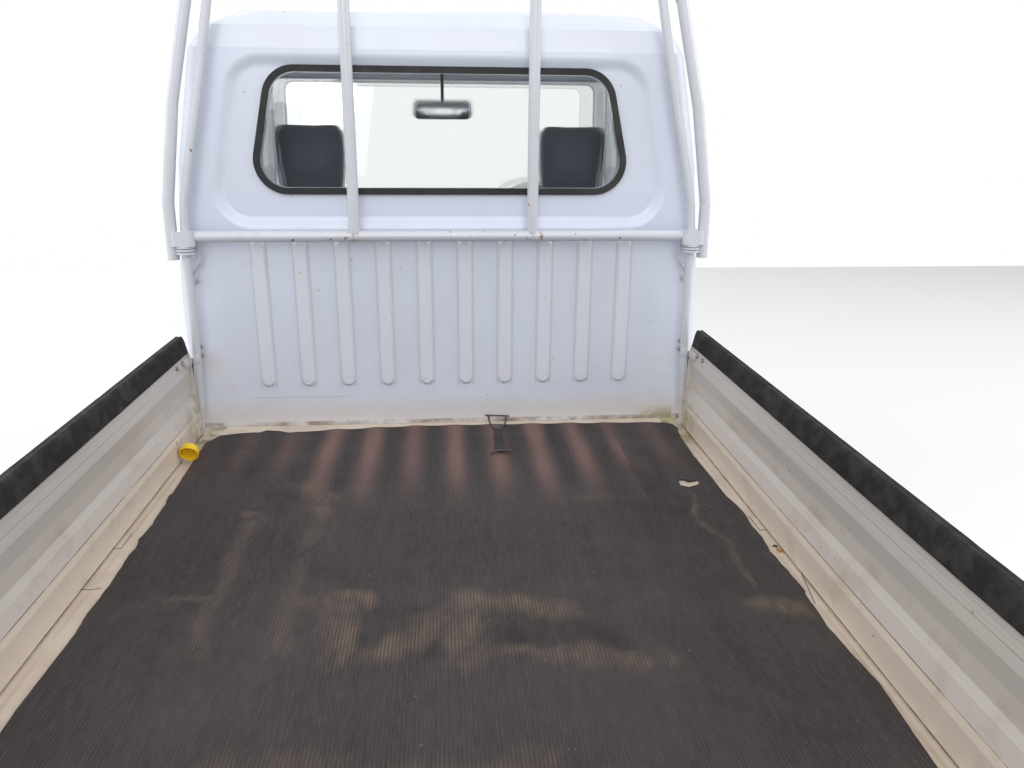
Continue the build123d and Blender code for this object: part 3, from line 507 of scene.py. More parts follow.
gateMarksAndShade = [
    mark((0.56, 0.49, 0.43), 0.92, side=gateInside),
    mark((0.53, 0.49, 0.46), 0.8, side=gateInside, Z=(0.852, 1, 0.010)),
    mark((0.52, 0.475, 0.44), 0.75, side=gateInside, Z=(0.742, 0.850, 0.010)),
    # painted shadow under the upper band, across the top of the panel
    mark((0.42, 0.42, 0.41), 0.45, (1.6, 0.35, 0.7), side=gateInside, Z=(0.822, 0.846, 0.022)),
    mark((0.62, 0.525, 0.435), 0.8, side=gateInside, Z=(0.66, 0.7335, 0.003)),
    # painted shade along the fold where the panel bends out to the ledge: a darker band on its slope and a thin dark
    # line at its top
    mark((0.40, 0.365, 0.335), 0.62, side=gateInside, Z=(0.7660, 0.7772, 0.0010)),
    mark((0.20, 0.18, 0.16), 0.4, (5, 0.30, 0.45), side=gateInside, Z=(0.7772, 0.7780, 0.0007)),
    mark((0.085, 0.070, 0.055), 0.85, (6, 0.32, 0.48), side=gateInside, Z=(0.7334, 0.7346, 0.0008)),
    # painted shade: thin dark lines in place of the grooves and edges of the upper band
    mark((0.30, 0.28, 0.26), 0.6, (5, 0.30, 0.50), side=gateInside, Z=(0.8870, 0.8876, 0.0006)),
    mark((0.34, 0.32, 0.30), 0.5, (7, 0.36, 0.56), side=gateInside, Z=(0.8950, 0.8956, 0.0006)),
    mark((0.34, 0.32, 0.30), 0.5, (7, 0.36, 0.56), side=gateInside, Z=(0.8780, 0.8786, 0.0006)),
    mark((0.20, 0.18, 0.17), 0.8, (5, 0.25, 0.45), side=gateInside, Z=(0.9046, 0.9056, 0.0007)),
    mark((0.24, 0.22, 0.20), 0.8, (5, 0.25, 0.45), side=gateInside, Z=(0.8690, 0.8698, 0.0007)),
    mark((0.24, 0.21, 0.11), 0.8, (24, 0.38, 0.62), side=gateInside, Y=(-0.30, -0.16, 0.09), Z=(0.66, 0.735, 0.040)),
    mark((0.17, 0.14, 0.12), 0.85, (52, 0.690, 0.705), side=gateInside),
    mark((0.36, 0.29, 0.21), 0.5, (11, 0.52, 0.72), side=gateInside, Z=(0.66, 0.80, 0.02)),
]
tailMarks = [
    mark((0.58, 0.525, 0.47), 0.85, Y=(1.60, 1.6580, 0.001), side=(-1, 0.7090, 0.004)),
    mark((0.36, 0.29, 0.20), 0.6, (13, 0.42, 0.68), Y=(1.60, 1.6580, 0.001), side=(-1, 0.7090, 0.004),
         Z=(0.64, 0.72, 0.06)),
]
bedMarks = [
    mark((0.56, 0.475, 0.385), 0.95, side=bedInside, Z=bedTop, Y=(-0.30, 1.66, 0.001)),
    mark((0.40, 0.31, 0.22), 0.55, (9, 0.42, 0.70), side=bedInside, Z=bedTop),
    mark((0.27, 0.235, 0.19), 0.7, (6, 0.25, 0.60), side=(-1, 0.700, 0.010), Z=(0.50, 0.6545, 0.003),
         Y=(-0.29, 1.660, 0.004)),
    mark((0.19, 0.145, 0.095), 0.8, (17, 0.40, 0.62), side=(0.695, 0.7095, 0.001), Z=bedTop),
    mark((0.36, 0.28, 0.20), 0.7, (7, 0.35, 0.65), side=(0.676, 0.680, 0.004), Z=bedTop),
    mark((0.34, 0.13, 0.025), 0.95, (90, 0.34, 0.46), X=(-0.6925, -0.6830, 0.003), Y=(0.519, 0.534, 0.005), Z=bedTop),
    mark((0.22, 0.20, 0.075), 0.85, (20, 0.36, 0.60), X=(-0.7095, -0.64, 0.001), Y=(-0.30, -0.10, 0.10), Z=bedTop),
    mark((0.17, 0.12, 0.07), 0.8, (26, 0.42, 0.62), X=(0.64, 0.7095, 0.001), Y=(-0.30, -0.16, 0.05), Z=bedTop),
]
tubeMarks = [
    mark((0.10, 0.06, 0.045), 0.95, (58, 0.655, 0.67), Z=(1.202, 1.228, 0.002), X=(-0.60, 0.60, 0.02)),
    mark((0.22, 0.10, 0.05), 0.8, (85, 0.52, 0.60), Z=(1.200, 1.226, 0.002), side=(0.234, 0.268, 0.006)),
    mark((0.46, 0.38, 0.29), 0.55, (16, 0.40, 0.70), side=(0.62, 0.72, 0.01), Z=(0.66, 0.80, 0.06)),
]
bodyWhite = {"colour": (0.615, 0.65, 0.74), "shade": (0.58, 0.605, 0.68)}
roadDust = (0.42, 0.35, 0.22)
finishRecipes = {
    "body_white": (enamel, {
        **bodyWhite, "rough": 0.32, "dirt": 0.35, "dirtColour": roadDust, "dirtHeights": (0.40, 0.66),
        "chipLevel": 0.735, "chipColour": (0.52, 0.50, 0.46), "marks": cornerMarks,
    }),
    "wall_paint": (enamel, {
        "colour": (0.60, 0.64, 0.745), "shade": (0.57, 0.60, 0.69), "rough": 0.34, "dirt": 0.2,
        "dirtColour": (0.42, 0.36, 0.28), "dirtHeights": (0.66, 0.80), "chipLevel": 0.74,
        "chipColour": (0.40, 0.36, 0.33), "marks": wallMarksAndShade,
    }),
    "gate_paint": (enamel, {
        **bodyWhite, "rough": 0.38, "dirt": 0.3, "dirtColour": roadDust, "dirtHeights": (0.62, 0.76),
        "chipLevel": 0.735, "chipColour": (0.45, 0.42, 0.38), "marks": gateMarksAndShade,
    }),
    "bed_paint": (enamel, {
        **bodyWhite, "rough": 0.40, "dirt": 0.4, "dirtColour": (0.36, 0.29, 0.19), "dirtHeights": (0.54, 0.64),
        "chipLevel": 0.71, "chipColour": (0.20, 0.11, 0.05), "marks": bedMarks,
    }),
    "tail_paint": (enamel, {
        **bodyWhite, "rough": 0.36, "dirt": 0.35, "dirtColour": roadDust, "dirtHeights": (0.62, 0.80),
        "chipLevel": 0.73, "chipColour": (0.36, 0.28, 0.22), "marks": tailMarks,
    }),
    "inner_grey": (enamel, {
        "colour": (0.66, 0.68, 0.70), "shade": (0.60, 0.62, 0.64), "rough": 0.45, "dirt": 0.4,
        "dirtColour": (0.30, 0.26, 0.20), "dirtHeights": (0.40, 0.75), "chipLevel": 0.75,
        "chipColour": (0.4, 0.38, 0.34),
    }),
    "chassis_black": (enamel, {
        "colour": (0.035, 0.035, 0.038), "shade": (0.06, 0.055, 0.05), "rough": 0.5, "dirt": 0.6,
        "dirtColour": (0.15, 0.11, 0.075), "dirtHeights": (0.15, 0.75), "chipLevel": 0.68,
        "chipColour": rustBrown,
    }),
    "tube_white": (enamel, {
        "colour": (0.525, 0.54, 0.59), "shade": (0.49, 0.50, 0.54), "rough": 0.28, "dirt": 0.4,
        "dirtColour": (0.45, 0.37, 0.24), "dirtHeights": (0.66, 0.90), "chipLevel": 0.725,
        "chipColour": (0.24, 0.10, 0.04), "marks": tubeMarks,
    }),
    "wheel_silver": (enamel, {
        "colour": (0.50, 0.51, 0.52), "shade": (0.42, 0.43, 0.44), "rough": 0.38, "metal": 0.55, "dirt": 0.7,
        "dirtColour": (0.20, 0.15, 0.10), "dirtHeights": (0.12, 0.42), "chipLevel": 0.72,
        "chipColour": rustBrown,
    }),
    "black_rubber": (softBlack, {
        "colour": (0.020, 0.020, 0.022), "dust": 0.35, "dustColour": (0.10, 0.09, 0.075), "dustScale": 7,
        "rough": 0.72, "grain": 320, "grainStrength": 0.3, "shine": 0.3,
    }),
    "pad_foam": (softBlack, {
        "colour": (0.016, 0.015, 0.016), "dust": 0.6, "dustColour": (0.070, 0.062, 0.056), "dustScale": 26,
        "rough": 0.85, "grain": 150, "grainStrength": 0.7, "shine": 0.2,
    }),
    "tyre_rubber": (softBlack, {
        "colour": (0.022, 0.022, 0.023), "dust": 0.5, "dustColour": (0.11, 0.095, 0.075), "dustScale": 9,
        "rough": 0.78, "grain": 240, "grainStrength": 0.35,
    }),
    "black_plastic": (softBlack, {
        "colour": (0.030, 0.030, 0.032), "dust": 0.2, "dustColour": (0.12, 0.11, 0.10), "dustScale": 11,
        "rough": 0.5, "grain": 900, "grainStrength": 0.25,
    }),
    "dash_plastic": (softBlack, {
        "colour": (0.085, 0.088, 0.095), "dust": 0.25, "dustColour": (0.18, 0.17, 0.16), "dustScale": 6,
        "rough": 0.6, "grain": 1100, "grainStrength": 0.3,
    }),
    "mat_rubber": (ribbedMat, {
        "colour": (0.030, 0.025, 0.028), "paleColour": (0.052, 0.044, 0.042),
        "streakColour": (0.070, 0.060, 0.056), "wearAndSheen": 1.15, "wearAndSheenColour": (0.150, 0.092, 0.082), "dust": 0.95,
        "dustColour": (0.165, 0.118, 0.085), "shadeColour": (0.012, 0.010, 0.012), "ribPitch": 0.0062,
    }),
    "window_glass": (clearGlass, {"colour": (0.86, 0.91, 0.90), "alpha": 0.42}),
    "lamp_clear": (lampLens, {
        "colour": (0.80, 0.83, 0.86), "shade": (0.55, 0.58, 0.62), "through": 0.8, "flutePitch": 0.012,
        "alpha": 0.45,
    }),
    "lamp_red": (lampLens, {
        "colour": (0.42, 0.012, 0.012), "shade": (0.20, 0.004, 0.004), "through": 0.25, "flutePitch": 0.008,
    }),
    "lamp_amber": (lampLens, {
        "colour": (0.80, 0.24, 0.01), "shade": (0.50, 0.12, 0.005), "through": 0.25, "flutePitch": 0.008,
    }),
    "seat_cloth": (wovenCloth, {
        "colour": (0.018, 0.022, 0.036), "shade": (0.045, 0.055, 0.085), "worn": (0.06, 0.066, 0.082),
        "threadPitch": 0.0035,
    }),
    "yellow_cup": (softBlack, {
        "colour": (0.80, 0.50, 0.01), "dust": 0.35, "dustColour": (0.42, 0.26, 0.03), "dustScale": 40,
        "rough": 0.42, "grain": 500, "grainStrength": 0.15,
    }),
    "mirror_glass": (bareMetal, {
        "colour": (0.80, 0.81, 0.82), "metal": 1.0, "rough": 0.09, "rustScale": 5, "rustLevel": 0.86,
        "rustColour": (0.4, 0.4, 0.4), "grain": 20,
    }),
    "bare_steel": (bareMetal, {
        "colour": (0.45, 0.43, 0.41), "metal": 0.85, "rough": 0.42, "rustScale": 14, "rustLevel": 0.56,
        "rustColour": rustBrown, "grain": 180,
    }),
    "cast_metal": (bareMetal, {
        "colour": (0.14, 0.135, 0.13), "metal": 0.6, "rough": 0.6, "rustScale": 9, "rustLevel": 0.50,
        "rustColour": (0.12, 0.05, 0.025), "grain": 120,
    }),
}
whitePaints = ("bed_paint", "wall_paint", "gate_paint", "tail_paint")
nearestSlot = {"pad_foam": "black_rubber", "mirror_glass": "window_glass", "yellow_cup": "lamp_amber",
               **dict.fromkeys(whitePaints, "body_white")}
finishes = {name: recipe(name, values) for name, (recipe, values) in finishRecipes.items()}

slotOf = {part["node"]: part["material_slot"] for part in frame["record"]["subparts"]}
ownFinish = {"bed_floor": "bed_paint", "cab_back_panel": "wall_paint", "tailgate": "tail_paint",
             "side_gate_left": "gate_paint", "side_gate_right": "gate_paint"}
for nodeName, node in frame["nodes"].items():
    node.data.materials.clear()
    node.data.materials.append(finishes[ownFinish.get(nodeName, slotOf[nodeName])])
print("finishes:", len(finishes))


# rubber mat on the bed floor

mat = {
    "columns": 216,
    "rows": 172,
    "thick": 0.004,
    "ridgeShift": 0.020,
    "ridgeRise": 0.0045,
    "ripple": 0.0022,
    "frayed": 0.0015,
    "tearReach": 0.045,
    "strokeSoft": 1.9,
    "tear": [(-0.5715, 0.1670), (-0.5865, 0.1680), (-0.5930, 0.1806), (-0.6240, 0.1705), (-0.6150, 0.2000),
             (-0.5850, 0.2156), (-0.5666, 0.2027)],
    "leftEdge": [  # y, x
        (-0.2700, 0.6640), (-0.1681, 0.6625), (-0.0048, 0.6572), (0.0906, 0.6537), (0.0932, 0.6604), (0.1276, 0.6555),
        (0.1529, 0.6521), (0.2353, 0.6511), (0.2807, 0.6484), (0.3198, 0.6532), (0.3239, 0.6557), (0.3616, 0.6487),
        (0.3859, 0.6480), (0.3989, 0.6509), (0.4579, 0.6484), (0.5230, 0.6460), (0.5890, 0.6460), (0.6330, 0.6490),
        (0.6940, 0.6440), (0.9000, 0.6500), (1.1500, 0.6430), (1.6200, 0.6370),
    ],
    "rightEdge": [
        (-0.2700, -0.6720), (-0.1490, -0.6600), (-0.0200, -0.6570), (0.0840, -0.6590), (0.1290, -0.6600),
        (0.2380, -0.6605), (0.3050, -0.6720), (0.3970, -0.6670), (0.4450, -0.6700), (0.5110, -0.6640),
        (0.5740, -0.6670), (0.6510, -0.6715), (0.6870, -0.6660), (0.7310, -0.6660), (0.7860, -0.6620),
        (0.8740, -0.6680), (0.9220, -0.6750), (1.2000, -0.6600), (1.6200, -0.6500),
    ],
    "frontEdge": [  # x, y
        (-0.6720, -0.1823), (-0.6694, -0.2236), (-0.6462, -0.2407), (-0.5548, -0.2463), (-0.2801, -0.2525),
        (0.0804, -0.2560), (0.1988, -0.2480), (0.3880, -0.2311), (0.4484, -0.2169), (0.4788, -0.2367),
        (0.5161, -0.2441), (0.5339, -0.2222), (0.5923, -0.2258), (0.6410, -0.2087), (0.6559, -0.1656),
    ],
    "dust": [  # pale dust worn into the wrinkles: places along the mark, half width, strength
        ([(0.261, 0.653), (0.204, 0.661), (0.144, 0.671)], 0.018, 0.8),
        ([(0.201, 0.671), (0.196, 0.759), (0.187, 0.830)], 0.026, 0.85),
        ([(0.110, 0.835), (0.071, 0.791), (0.027, 0.734), (-0.044, 0.688), (-0.126, 0.700),
          (-0.198, 0.718)], 0.026, 0.95),
        ([(-0.025, 0.713), (-0.020, 0.788), (-0.022, 0.844)], 0.028, 0.85),
        ([(-0.039, 0.832), (-0.113, 0.845), (-0.195, 0.857), (-0.276, 0.871), (-0.352, 0.871)], 0.018, 0.85),
        ([(0.523, 0.642), (0.480, 0.635), (0.434, 0.655)], 0.006, 0.8),
        ([(0.375, 0.158), (0.308, 0.162), (0.286, 0.318)], 0.020, 0.55),
        ([(0.272, 0.205), (0.258, 0.213)], 0.010, 0.85),
        ([(0.470, 0.295), (0.420, 0.300), (0.395, 0.325)], 0.006, 0.7),
        ([(0.439, 0.327), (0.430, 0.503), (0.428, 0.614), (0.433, 0.712), (0.422, 0.826)], 0.013, 0.55),
        ([(0.290, 0.337), (0.289, 0.512), (0.295, 0.658), (0.285, 0.809)], 0.015, 0.42),
        ([(-0.581, 0.237), (-0.565, 0.384), (-0.582, 0.497), (-0.583, 0.580), (-0.578, 0.655)], 0.006, 0.8),
        ([(-0.590, 0.735), (-0.632, 0.750)], 0.026, 1.0),
        ([(-0.305, 0.265), (-0.400, 0.270)], 0.012, 0.45),
        ([(0.300, 1.080), (0.120, 1.120), (-0.100, 1.090)], 0.030, 0.5),
        ([(-0.280, 1.260), (-0.420, 1.300), (-0.460, 1.420)], 0.026, 0.5),
        ([(0.420, 1.330), (0.330, 1.420), (0.150, 1.450)], 0.024, 0.45),
    ],
    "shade": [  # darker hollows between them
        ([(-0.080, 0.775), (-0.180, 0.790), (-0.260, 0.800)], 0.034, 0.8),
        ([(0.060, 0.700), (0.045, 0.760), (0.040, 0.820)], 0.020, 0.7),
        ([(0.250, 0.575), (0.150, 0.590)], 0.040, 0.6),
        ([(0.120, 0.700), (0.090, 0.740)], 0.035, 0.6),
        ([(0.560, 0.000), (0.500, 0.300), (0.520, 0.700)], 0.110, 0.35),
        ([(-0.480, 0.000), (-0.500, 0.500), (-0.450, 0.900)], 0.100, 0.30),
    ],
}


def between(rows, at):  # value at a place in a table of pairs
    for (start, first), (end, second) in zip(rows, rows[1:]):
        if at <= end:
            return first + (second - first) * max(0.0, (at - start) / (end - start))
    return rows[-1][1]


def nearLine(x, y, points):  # how far a place is from a line of points
    best = 9.0
    for (x0, y0), (x1, y1) in zip(points, points[1:]):
        dx, dy = x1 - x0, y1 - y0
        share = max(0.0, min(1.0, ((x - x0) * dx + (y - y0) * dy) / (dx * dx + dy * dy)))
        best = min(best, math.hypot(x - x0 - share * dx, y - y0 - share * dy))
    return best


def wobble(*place):
    return noise.noise(Vector(place))


def markAmount(x, y, strokes):  # soft, ragged marks
    most = 0.0
    wavyX = x + 0.020 * wobble(x * 13, y * 9, 2) + 0.010 * wobble(x * 44, y * 30, 5)
    wavyY = y + 0.030 * wobble(x * 11, y * 10, 8) + 0.014 * wobble(x * 36, y * 30, 4)
    patchy = 0.62 + 0.75 * wobble(x * 19, y * 13, 3) + 0.45 * wobble(x * 70, y * 40, 6)
    for points, half, strength in strokes:
        reach = nearLine(wavyX, wavyY, points) / (half * mat["strokeSoft"])
        if reach < 1:
            most = max(most, strength * max(0.0, patchy) * (1 - reach * reach) ** 1.6)
    return most


def inShape(x, y, corners):
    inside = False
    for (x0, y0), (x1, y1) in zip(corners, corners[1:] + corners[:1]):
        if (y0 > y) != (y1 > y) and x < x0 + (x1 - x0) * (y - y0) / (y1 - y0):
            inside = not inside
    return inside


def ridgeAt(x, y):  # the bed's own ridges pressing through, strongest by the wall
    wave = 0.5 + 0.5 * math.cos(2 * math.pi * (x + mat["ridgeShift"]) / beadPitch)
    fade = 1.0 if y < -0.02 else max(0.30, 1.0 - (y + 0.02) * 2.1)
    sideFade = 1.0 if -0.47 < x < 0.37 else 0.55
    return wave ** 1.5, fade * sideFade


def layOutMat(piece, low, high):
    frayed = mat["frayed"]
    for vertex in piece.data.vertices:
        across, along = vertex.co.x + 0.5, vertex.co.y + 0.5
        y = low.y + along * (high.y - low.y)
        leftX = min(between(mat["leftEdge"], y) + frayed * wobble(3, y * 40, 0), high.x)
        rightX = max(between(mat["rightEdge"], y) + frayed * wobble(9, y * 40, 0), low.x)
        x = rightX + across * (leftX - rightX)
        front = between(mat["frontEdge"], x)
        vertex.co = (x, front + along * (high.y - front), low.z)


def tearMat(piece):  # a finer mesh round the tear, then the hole itself
    tear = mat["tear"]
    middle = [sum(corner[axis] for corner in tear) / len(tear) for axis in (0, 1)]
    pick(piece, "FACE", lambda face: math.dist(face.center[:2], middle) < mat["tearReach"])
    bpy.ops.mesh.subdivide(number_cuts=5)
    leaveEdit()
    deleteWhere(piece, "FACE", lambda face: inShape(face.center.x, face.center.y, tear))


def makeMat():
    low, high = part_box("bed_mat")
    piece = addGrid("bedMat", mat["columns"], mat["rows"])
    layOutMat(piece, low, high)
    tearMat(piece)
    marks = piece.data.color_attributes.new("matMarks", "FLOAT_COLOR", "POINT")
    for number, vertex in enumerate(piece.data.vertices):
        x, y = vertex.co.x, vertex.co.y
        wave, fade = ridgeAt(x, y)
        # ridge tops: wear that also paints their sheen, strongest by the wall
        wearAndSheen = wave * max(0.0, fade - 0.30) * 1.6 * (0.80 + 0.6 * wobble(x * 6, y * 5, 7))
        dust = markAmount(x, y, mat["dust"])
        shade = max(markAmount(x, y, mat["shade"]), (1 - wave) * max(0.0, fade - 0.5) * 0.6)
        marks.data[number].color = (max(0.0, wearAndSheen), dust, shade * (1 - dust), 1)
        edge = max(0.0, min(0.05, y - low.y, high.y - y, abs(0.66 - abs(x)))) / 0.05
        lift = mat["ridgeRise"] * wave * fade + mat["ripple"] * max(0, wobble(x * 5, y * 4, 0)) + 0.003 * dust
        vertex.co.z = low.z + mat["thick"] + lift * (0.35 + 0.65 * edge)
    applyModifier(piece, "SOLIDIFY", thickness=mat["thick"], offset=-1)
    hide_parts("bed_mat")
    place(piece, "chassis", "mat_rubber", 60)


makeMat()
print("mat laid")


# foam pads along the side gates

pad = {
    "steps": 90,
    "section": [  # inward from the gate's outer face, down from its top
        (0.0010, 0.0195), (0.0005, 0.0030), (0.0040, 0.0004), (0.0105, 0.0022), (0.0170, 0.0004), (0.0205, 0.0035),
        (0.0235, 0.0110), (0.0262, 0.0200), (0.0272, 0.0265), (0.0290, 0.0330), (0.0312, 0.0470), (0.0285, 0.0495),
        (0.0255, 0.0490), (0.0240, 0.0300), (0.0226, 0.0122), (0.0020, 0.0121),
    ],
    "endGap": 0.001,
    "shown": 0.048,  # how far down the outside sags and has pits
    "sag": 0.0011,
    "pits": 0.0005,
}


def makePad(side):
    low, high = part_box("gate_pad_" + side)
    sign = sides[side]
    outer = high.x if sign > 0 else low.x
    clearSelection()
    bpy.ops.mesh.primitive_circle_add(vertices=len(pad["section"]), radius=0.02, fill_type="NGON")
    piece = newPiece("gatePad." + side)
    for vertex, (inward, down) in zip(piece.data.vertices, pad["section"]):
        vertex.co = (outer - sign * inward, low.y + pad["endGap"], high.z - down)
    editAll(piece)
    run = (high.y - low.y - 2 * pad["endGap"]) / pad["steps"]
    for step in range(pad["steps"]):
        bpy.ops.mesh.extrude_region_move(TRANSFORM_OT_translate={"value": (0, run, 0)})
    bpy.ops.mesh.select_all(action="SELECT")
    bpy.ops.mesh.normals_make_consistent(inside=False)
    leaveEdit()
    for vertex in piece.data.vertices:
        x, y, z = vertex.co
        if high.z - z < pad["shown"]:
            z -= abs(pad["sag"] * wobble(0, y * 9, sign) + pad["pits"] * wobble(x * 60, y * 40, z * 60))
        vertex.co.z = min(high.z, z)
    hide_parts("gate_pad_" + side)
    place(piece, "side_gate_" + side, "pad_foam", 50)


onBothSides(makePad)
print("pads on the gates")


# seats: copies of the plain cushions, puffed up as cloth and then sewn into channels

seat = {
    "voxel": 0.007,
    "shrink": 0.965,
    "pressure": 4.0,
    "frames": 18,
    "cap": 0.024,
    "slack": 0.004,
    "channelPitch": 0.078,
    "channelDepth": 0.007,
    "channelWidth": 0.009,
    "panelHalf": 0.135,
    "panelTall": 0.27,
}


def puffUp(piece):
    start = [v.co.copy() for v in piece.data.vertices]
    modifier = piece.modifiers.new("cloth", "CLOTH")
    cloth = modifier.settings
    cloth.quality = 4
    cloth.mass = 0.3
    cloth.use_pressure = True
    cloth.uniform_pressure_force = seat["pressure"]
    cloth.effector_weights.gravity = 0
    modifier.point_cache.frame_start = 1
    modifier.point_cache.frame_end = seat["frames"]
    for step in range(1, seat["frames"] + 1):
        bpy.context.scene.frame_set(step)
    makeActive(piece)
    bpy.ops.object.modifier_apply(modifier="cloth")
    bpy.context.scene.frame_set(1)
    for vertex, before in zip(piece.data.vertices, start):
        move = vertex.co - before
        if move.length > seat["cap"]:
            vertex.co = before + move * (seat["cap"] / move.length)


def sewChannels(piece, middle, low, high, isBack):  # grooves across the middle panel and along its two sides
    for vertex in piece.data.vertices:
        across = abs(vertex.co.x - middle)
        along = vertex.co.z if isBack else vertex.co.y
        groove = math.exp(-((across - seat["panelHalf"]) / seat["channelWidth"]) ** 2)
        if across < seat["panelHalf"]:
            phase = (along - low) / seat["channelPitch"]
            groove += math.exp(-((phase - round(phase)) * seat["channelPitch"] / seat["channelWidth"]) ** 2)
        if isBack:
            if vertex.normal.y < -0.5 and along < high - seat["panelTall"]:
                vertex.co.y += seat["channelDepth"] * min(groove, 1)
        elif vertex.normal.z > 0.5:
            vertex.co.z -= seat["channelDepth"] * min(groove, 1)


def makeSeatPart(nodeName, name, side, isBack):
    low, high = halfBox(nodeName, side)
    middle = (low + high) / 2
    piece = copyNode(nodeName, name, lambda spot: spot.x * sides[side] > 0)
    for vertex in piece.data.vertices:
        vertex.co = middle + (vertex.co - middle) * seat["shrink"]
    applyModifier(piece, "REMESH", mode="VOXEL", voxel_size=seat["voxel"])
    puffUp(piece)
    below = Vector((seat["slack"], seat["slack"], 0))  # flat where it rests, and inside its place in the cab
    above = Vector((seat["slack"], seat["slack"], seat["slack"] if isBack else 0))
    for vertex in piece.data.vertices:
        for axis in range(3):
            vertex.co[axis] = max(low[axis] - below[axis], min(high[axis] + above[axis], vertex.co[axis]))
    sewChannels(piece, middle.x, low.z if isBack else low.y, high.z if isBack else high.y, isBack)
    applyModifier(piece, "SMOOTH", factor=0.5, iterations=2)
    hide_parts(nodeName)
    place(piece, "chassis", "seat_cloth", 80)


for side in sides:
    makeSeatPart("seat_cushions", "seatCushion." + side, side, False)
    makeSeatPart("seat_backs", "seatBack." + side, side, True)
print("seats puffed up and sewn")


# tyres: a spun section with grooves, then cuts across the two shoulder ribs and the middle rib

tyre = {
    "steps": 168,
    "cutEvery": 4,
    "cutDepth": 0.0045,
    "cutMargin": 0.0022,
    "treadFrom": 0.2655,  # radius where the tread begins
    "ribs": ((0, 0.0085), (0.0145, 0.033), (0.040, 0.056)),  # cut across, by offset from the middle line
    "half": [  # outward from the middle line of the tread, then down the side wall: offset, radius
        (0.0085, 0.2708), (0.0098, 0.2648), (0.0128, 0.2648), (0.0141, 0.2706), (0.0335, 0.2700), (0.0350, 0.2640),
        (0.0380, 0.2638), (0.0395, 0.2694), (0.0560, 0.2655), (0.0625, 0.2580), (0.0668, 0.2500), (0.0685, 0.2465),
        (0.0692, 0.2400), (0.0722, 0.2310), (0.0733, 0.2200), (0.0733, 0.2120), (0.0722, 0.2105), (0.0718, 0.2060),
        (0.0724, 0.2045), (0.0700, 0.1960), (0.0640, 0.1840), (0.0570, 0.1730), (0.0548, 0.1668), (0.0548, 0.1525),
    ],
}


def makeTyre(name, centre, axis):
    section = tyre["half"] + [(-offset, radius) for offset, radius in reversed(tyre["half"])]
    piece = turnProfile(name, section, centre, axis, tyre["steps"])
    middle = Vector(centre)

    def isCut(face):
        away = face.center - middle
        offset, first, second = (away.z, away.x, away.y) if axis == "Z" else (away.x, away.y, away.z)
        if math.hypot(first, second) < tyre["treadFrom"]:
            return False
        if not any(low <= abs(offset) < high for low, high in tyre["ribs"]):
            return False
        turn = math.atan2(first, second) / (2 * math.pi) * tyre["steps"]
        stagger = 2 if abs(offset) > tyre["ribs"][-1][0] else 0
        return int(turn + 0.5 + tyre["steps"] + stagger) % tyre["cutEvery"] == 0

    pick(piece, "FACE", isCut)
    bpy.ops.mesh.inset(thickness=tyre["cutMargin"], depth=-tyre["cutDepth"], use_individual=True)
    leaveEdit()
    return piece


wheelCentres = {}
for joint in frame["joints"]:
    if joint["name"].startswith("roll_"):
        wheelCentres[joint["name"][5:]] = tuple(joint["pos_m"])
firstEnd = "front_left"
pieceNames = {"front_left": "frontLeft", "front_right": "frontRight",
              "rear_left": "rearLeft", "rear_right": "rearRight"}


def fitTyre(piece, node, body):
    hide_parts(node)
    place(piece, body, "tyre_rubber", 32)


firstTyre = makeTyre("tyre." + pieceNames[firstEnd], wheelCentres[firstEnd], "X")
for end, centre in wheelCentres.items():
    if end != firstEnd:
        move = Vector(centre) - Vector(wheelCentres[firstEnd])
        fitTyre(shiftCopy(firstTyre, "tyre." + pieceNames[end], move), "tyre_" + end, "wheel_" + end)
fitTyre(firstTyre, "tyre_" + firstEnd, "wheel_" + firstEnd)

spare = {"rimRadius": 0.1519, "flangeRadius": 0.1635, "flangeOut": 0.0551}
spareLow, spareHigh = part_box("spare_wheel")
spareCentre = (spareLow + spareHigh) / 2
fitTyre(makeTyre("spareTyre", tuple(spareCentre), "Z"), "spare_wheel", "chassis")


def isRimOnly(spot):
    radius = math.hypot(spot.x - spareCentre.x, spot.y - spareCentre.y)
    onFlange = radius < spare["flangeRadius"] and abs(spot.z - spareCentre.z) > spare["flangeOut"]
    return radius < spare["rimRadius"] or onFlange


place(copyNode("spare_wheel", "spareRim", isRimOnly), "chassis", "wheel_silver", 40)
print("tyres:", len(wheelCentres) + 1)


# nuts, hub cap and valve of each wheel

wheelTrim = {
    "nuts": 4, "nutCircle": 0.0530, "nutRadius": 0.0105, "nutLong": 0.015, "studRadius": 0.0055, "faceOut": 0.024,
    "cap": [  # outward from the wheel's middle, radius
        (0.0425, 0.0002), (0.0425, 0.0245), (0.0455, 0.0260), (0.0500, 0.0245), (0.0535, 0.0180), (0.0550, 0.0080),
        (0.0552, 0.0002),
    ],
    "valveRadius": 0.138, "valveAngle": 22.5, "stemRadius": 0.0055, "tipRadius": 0.0038,
}


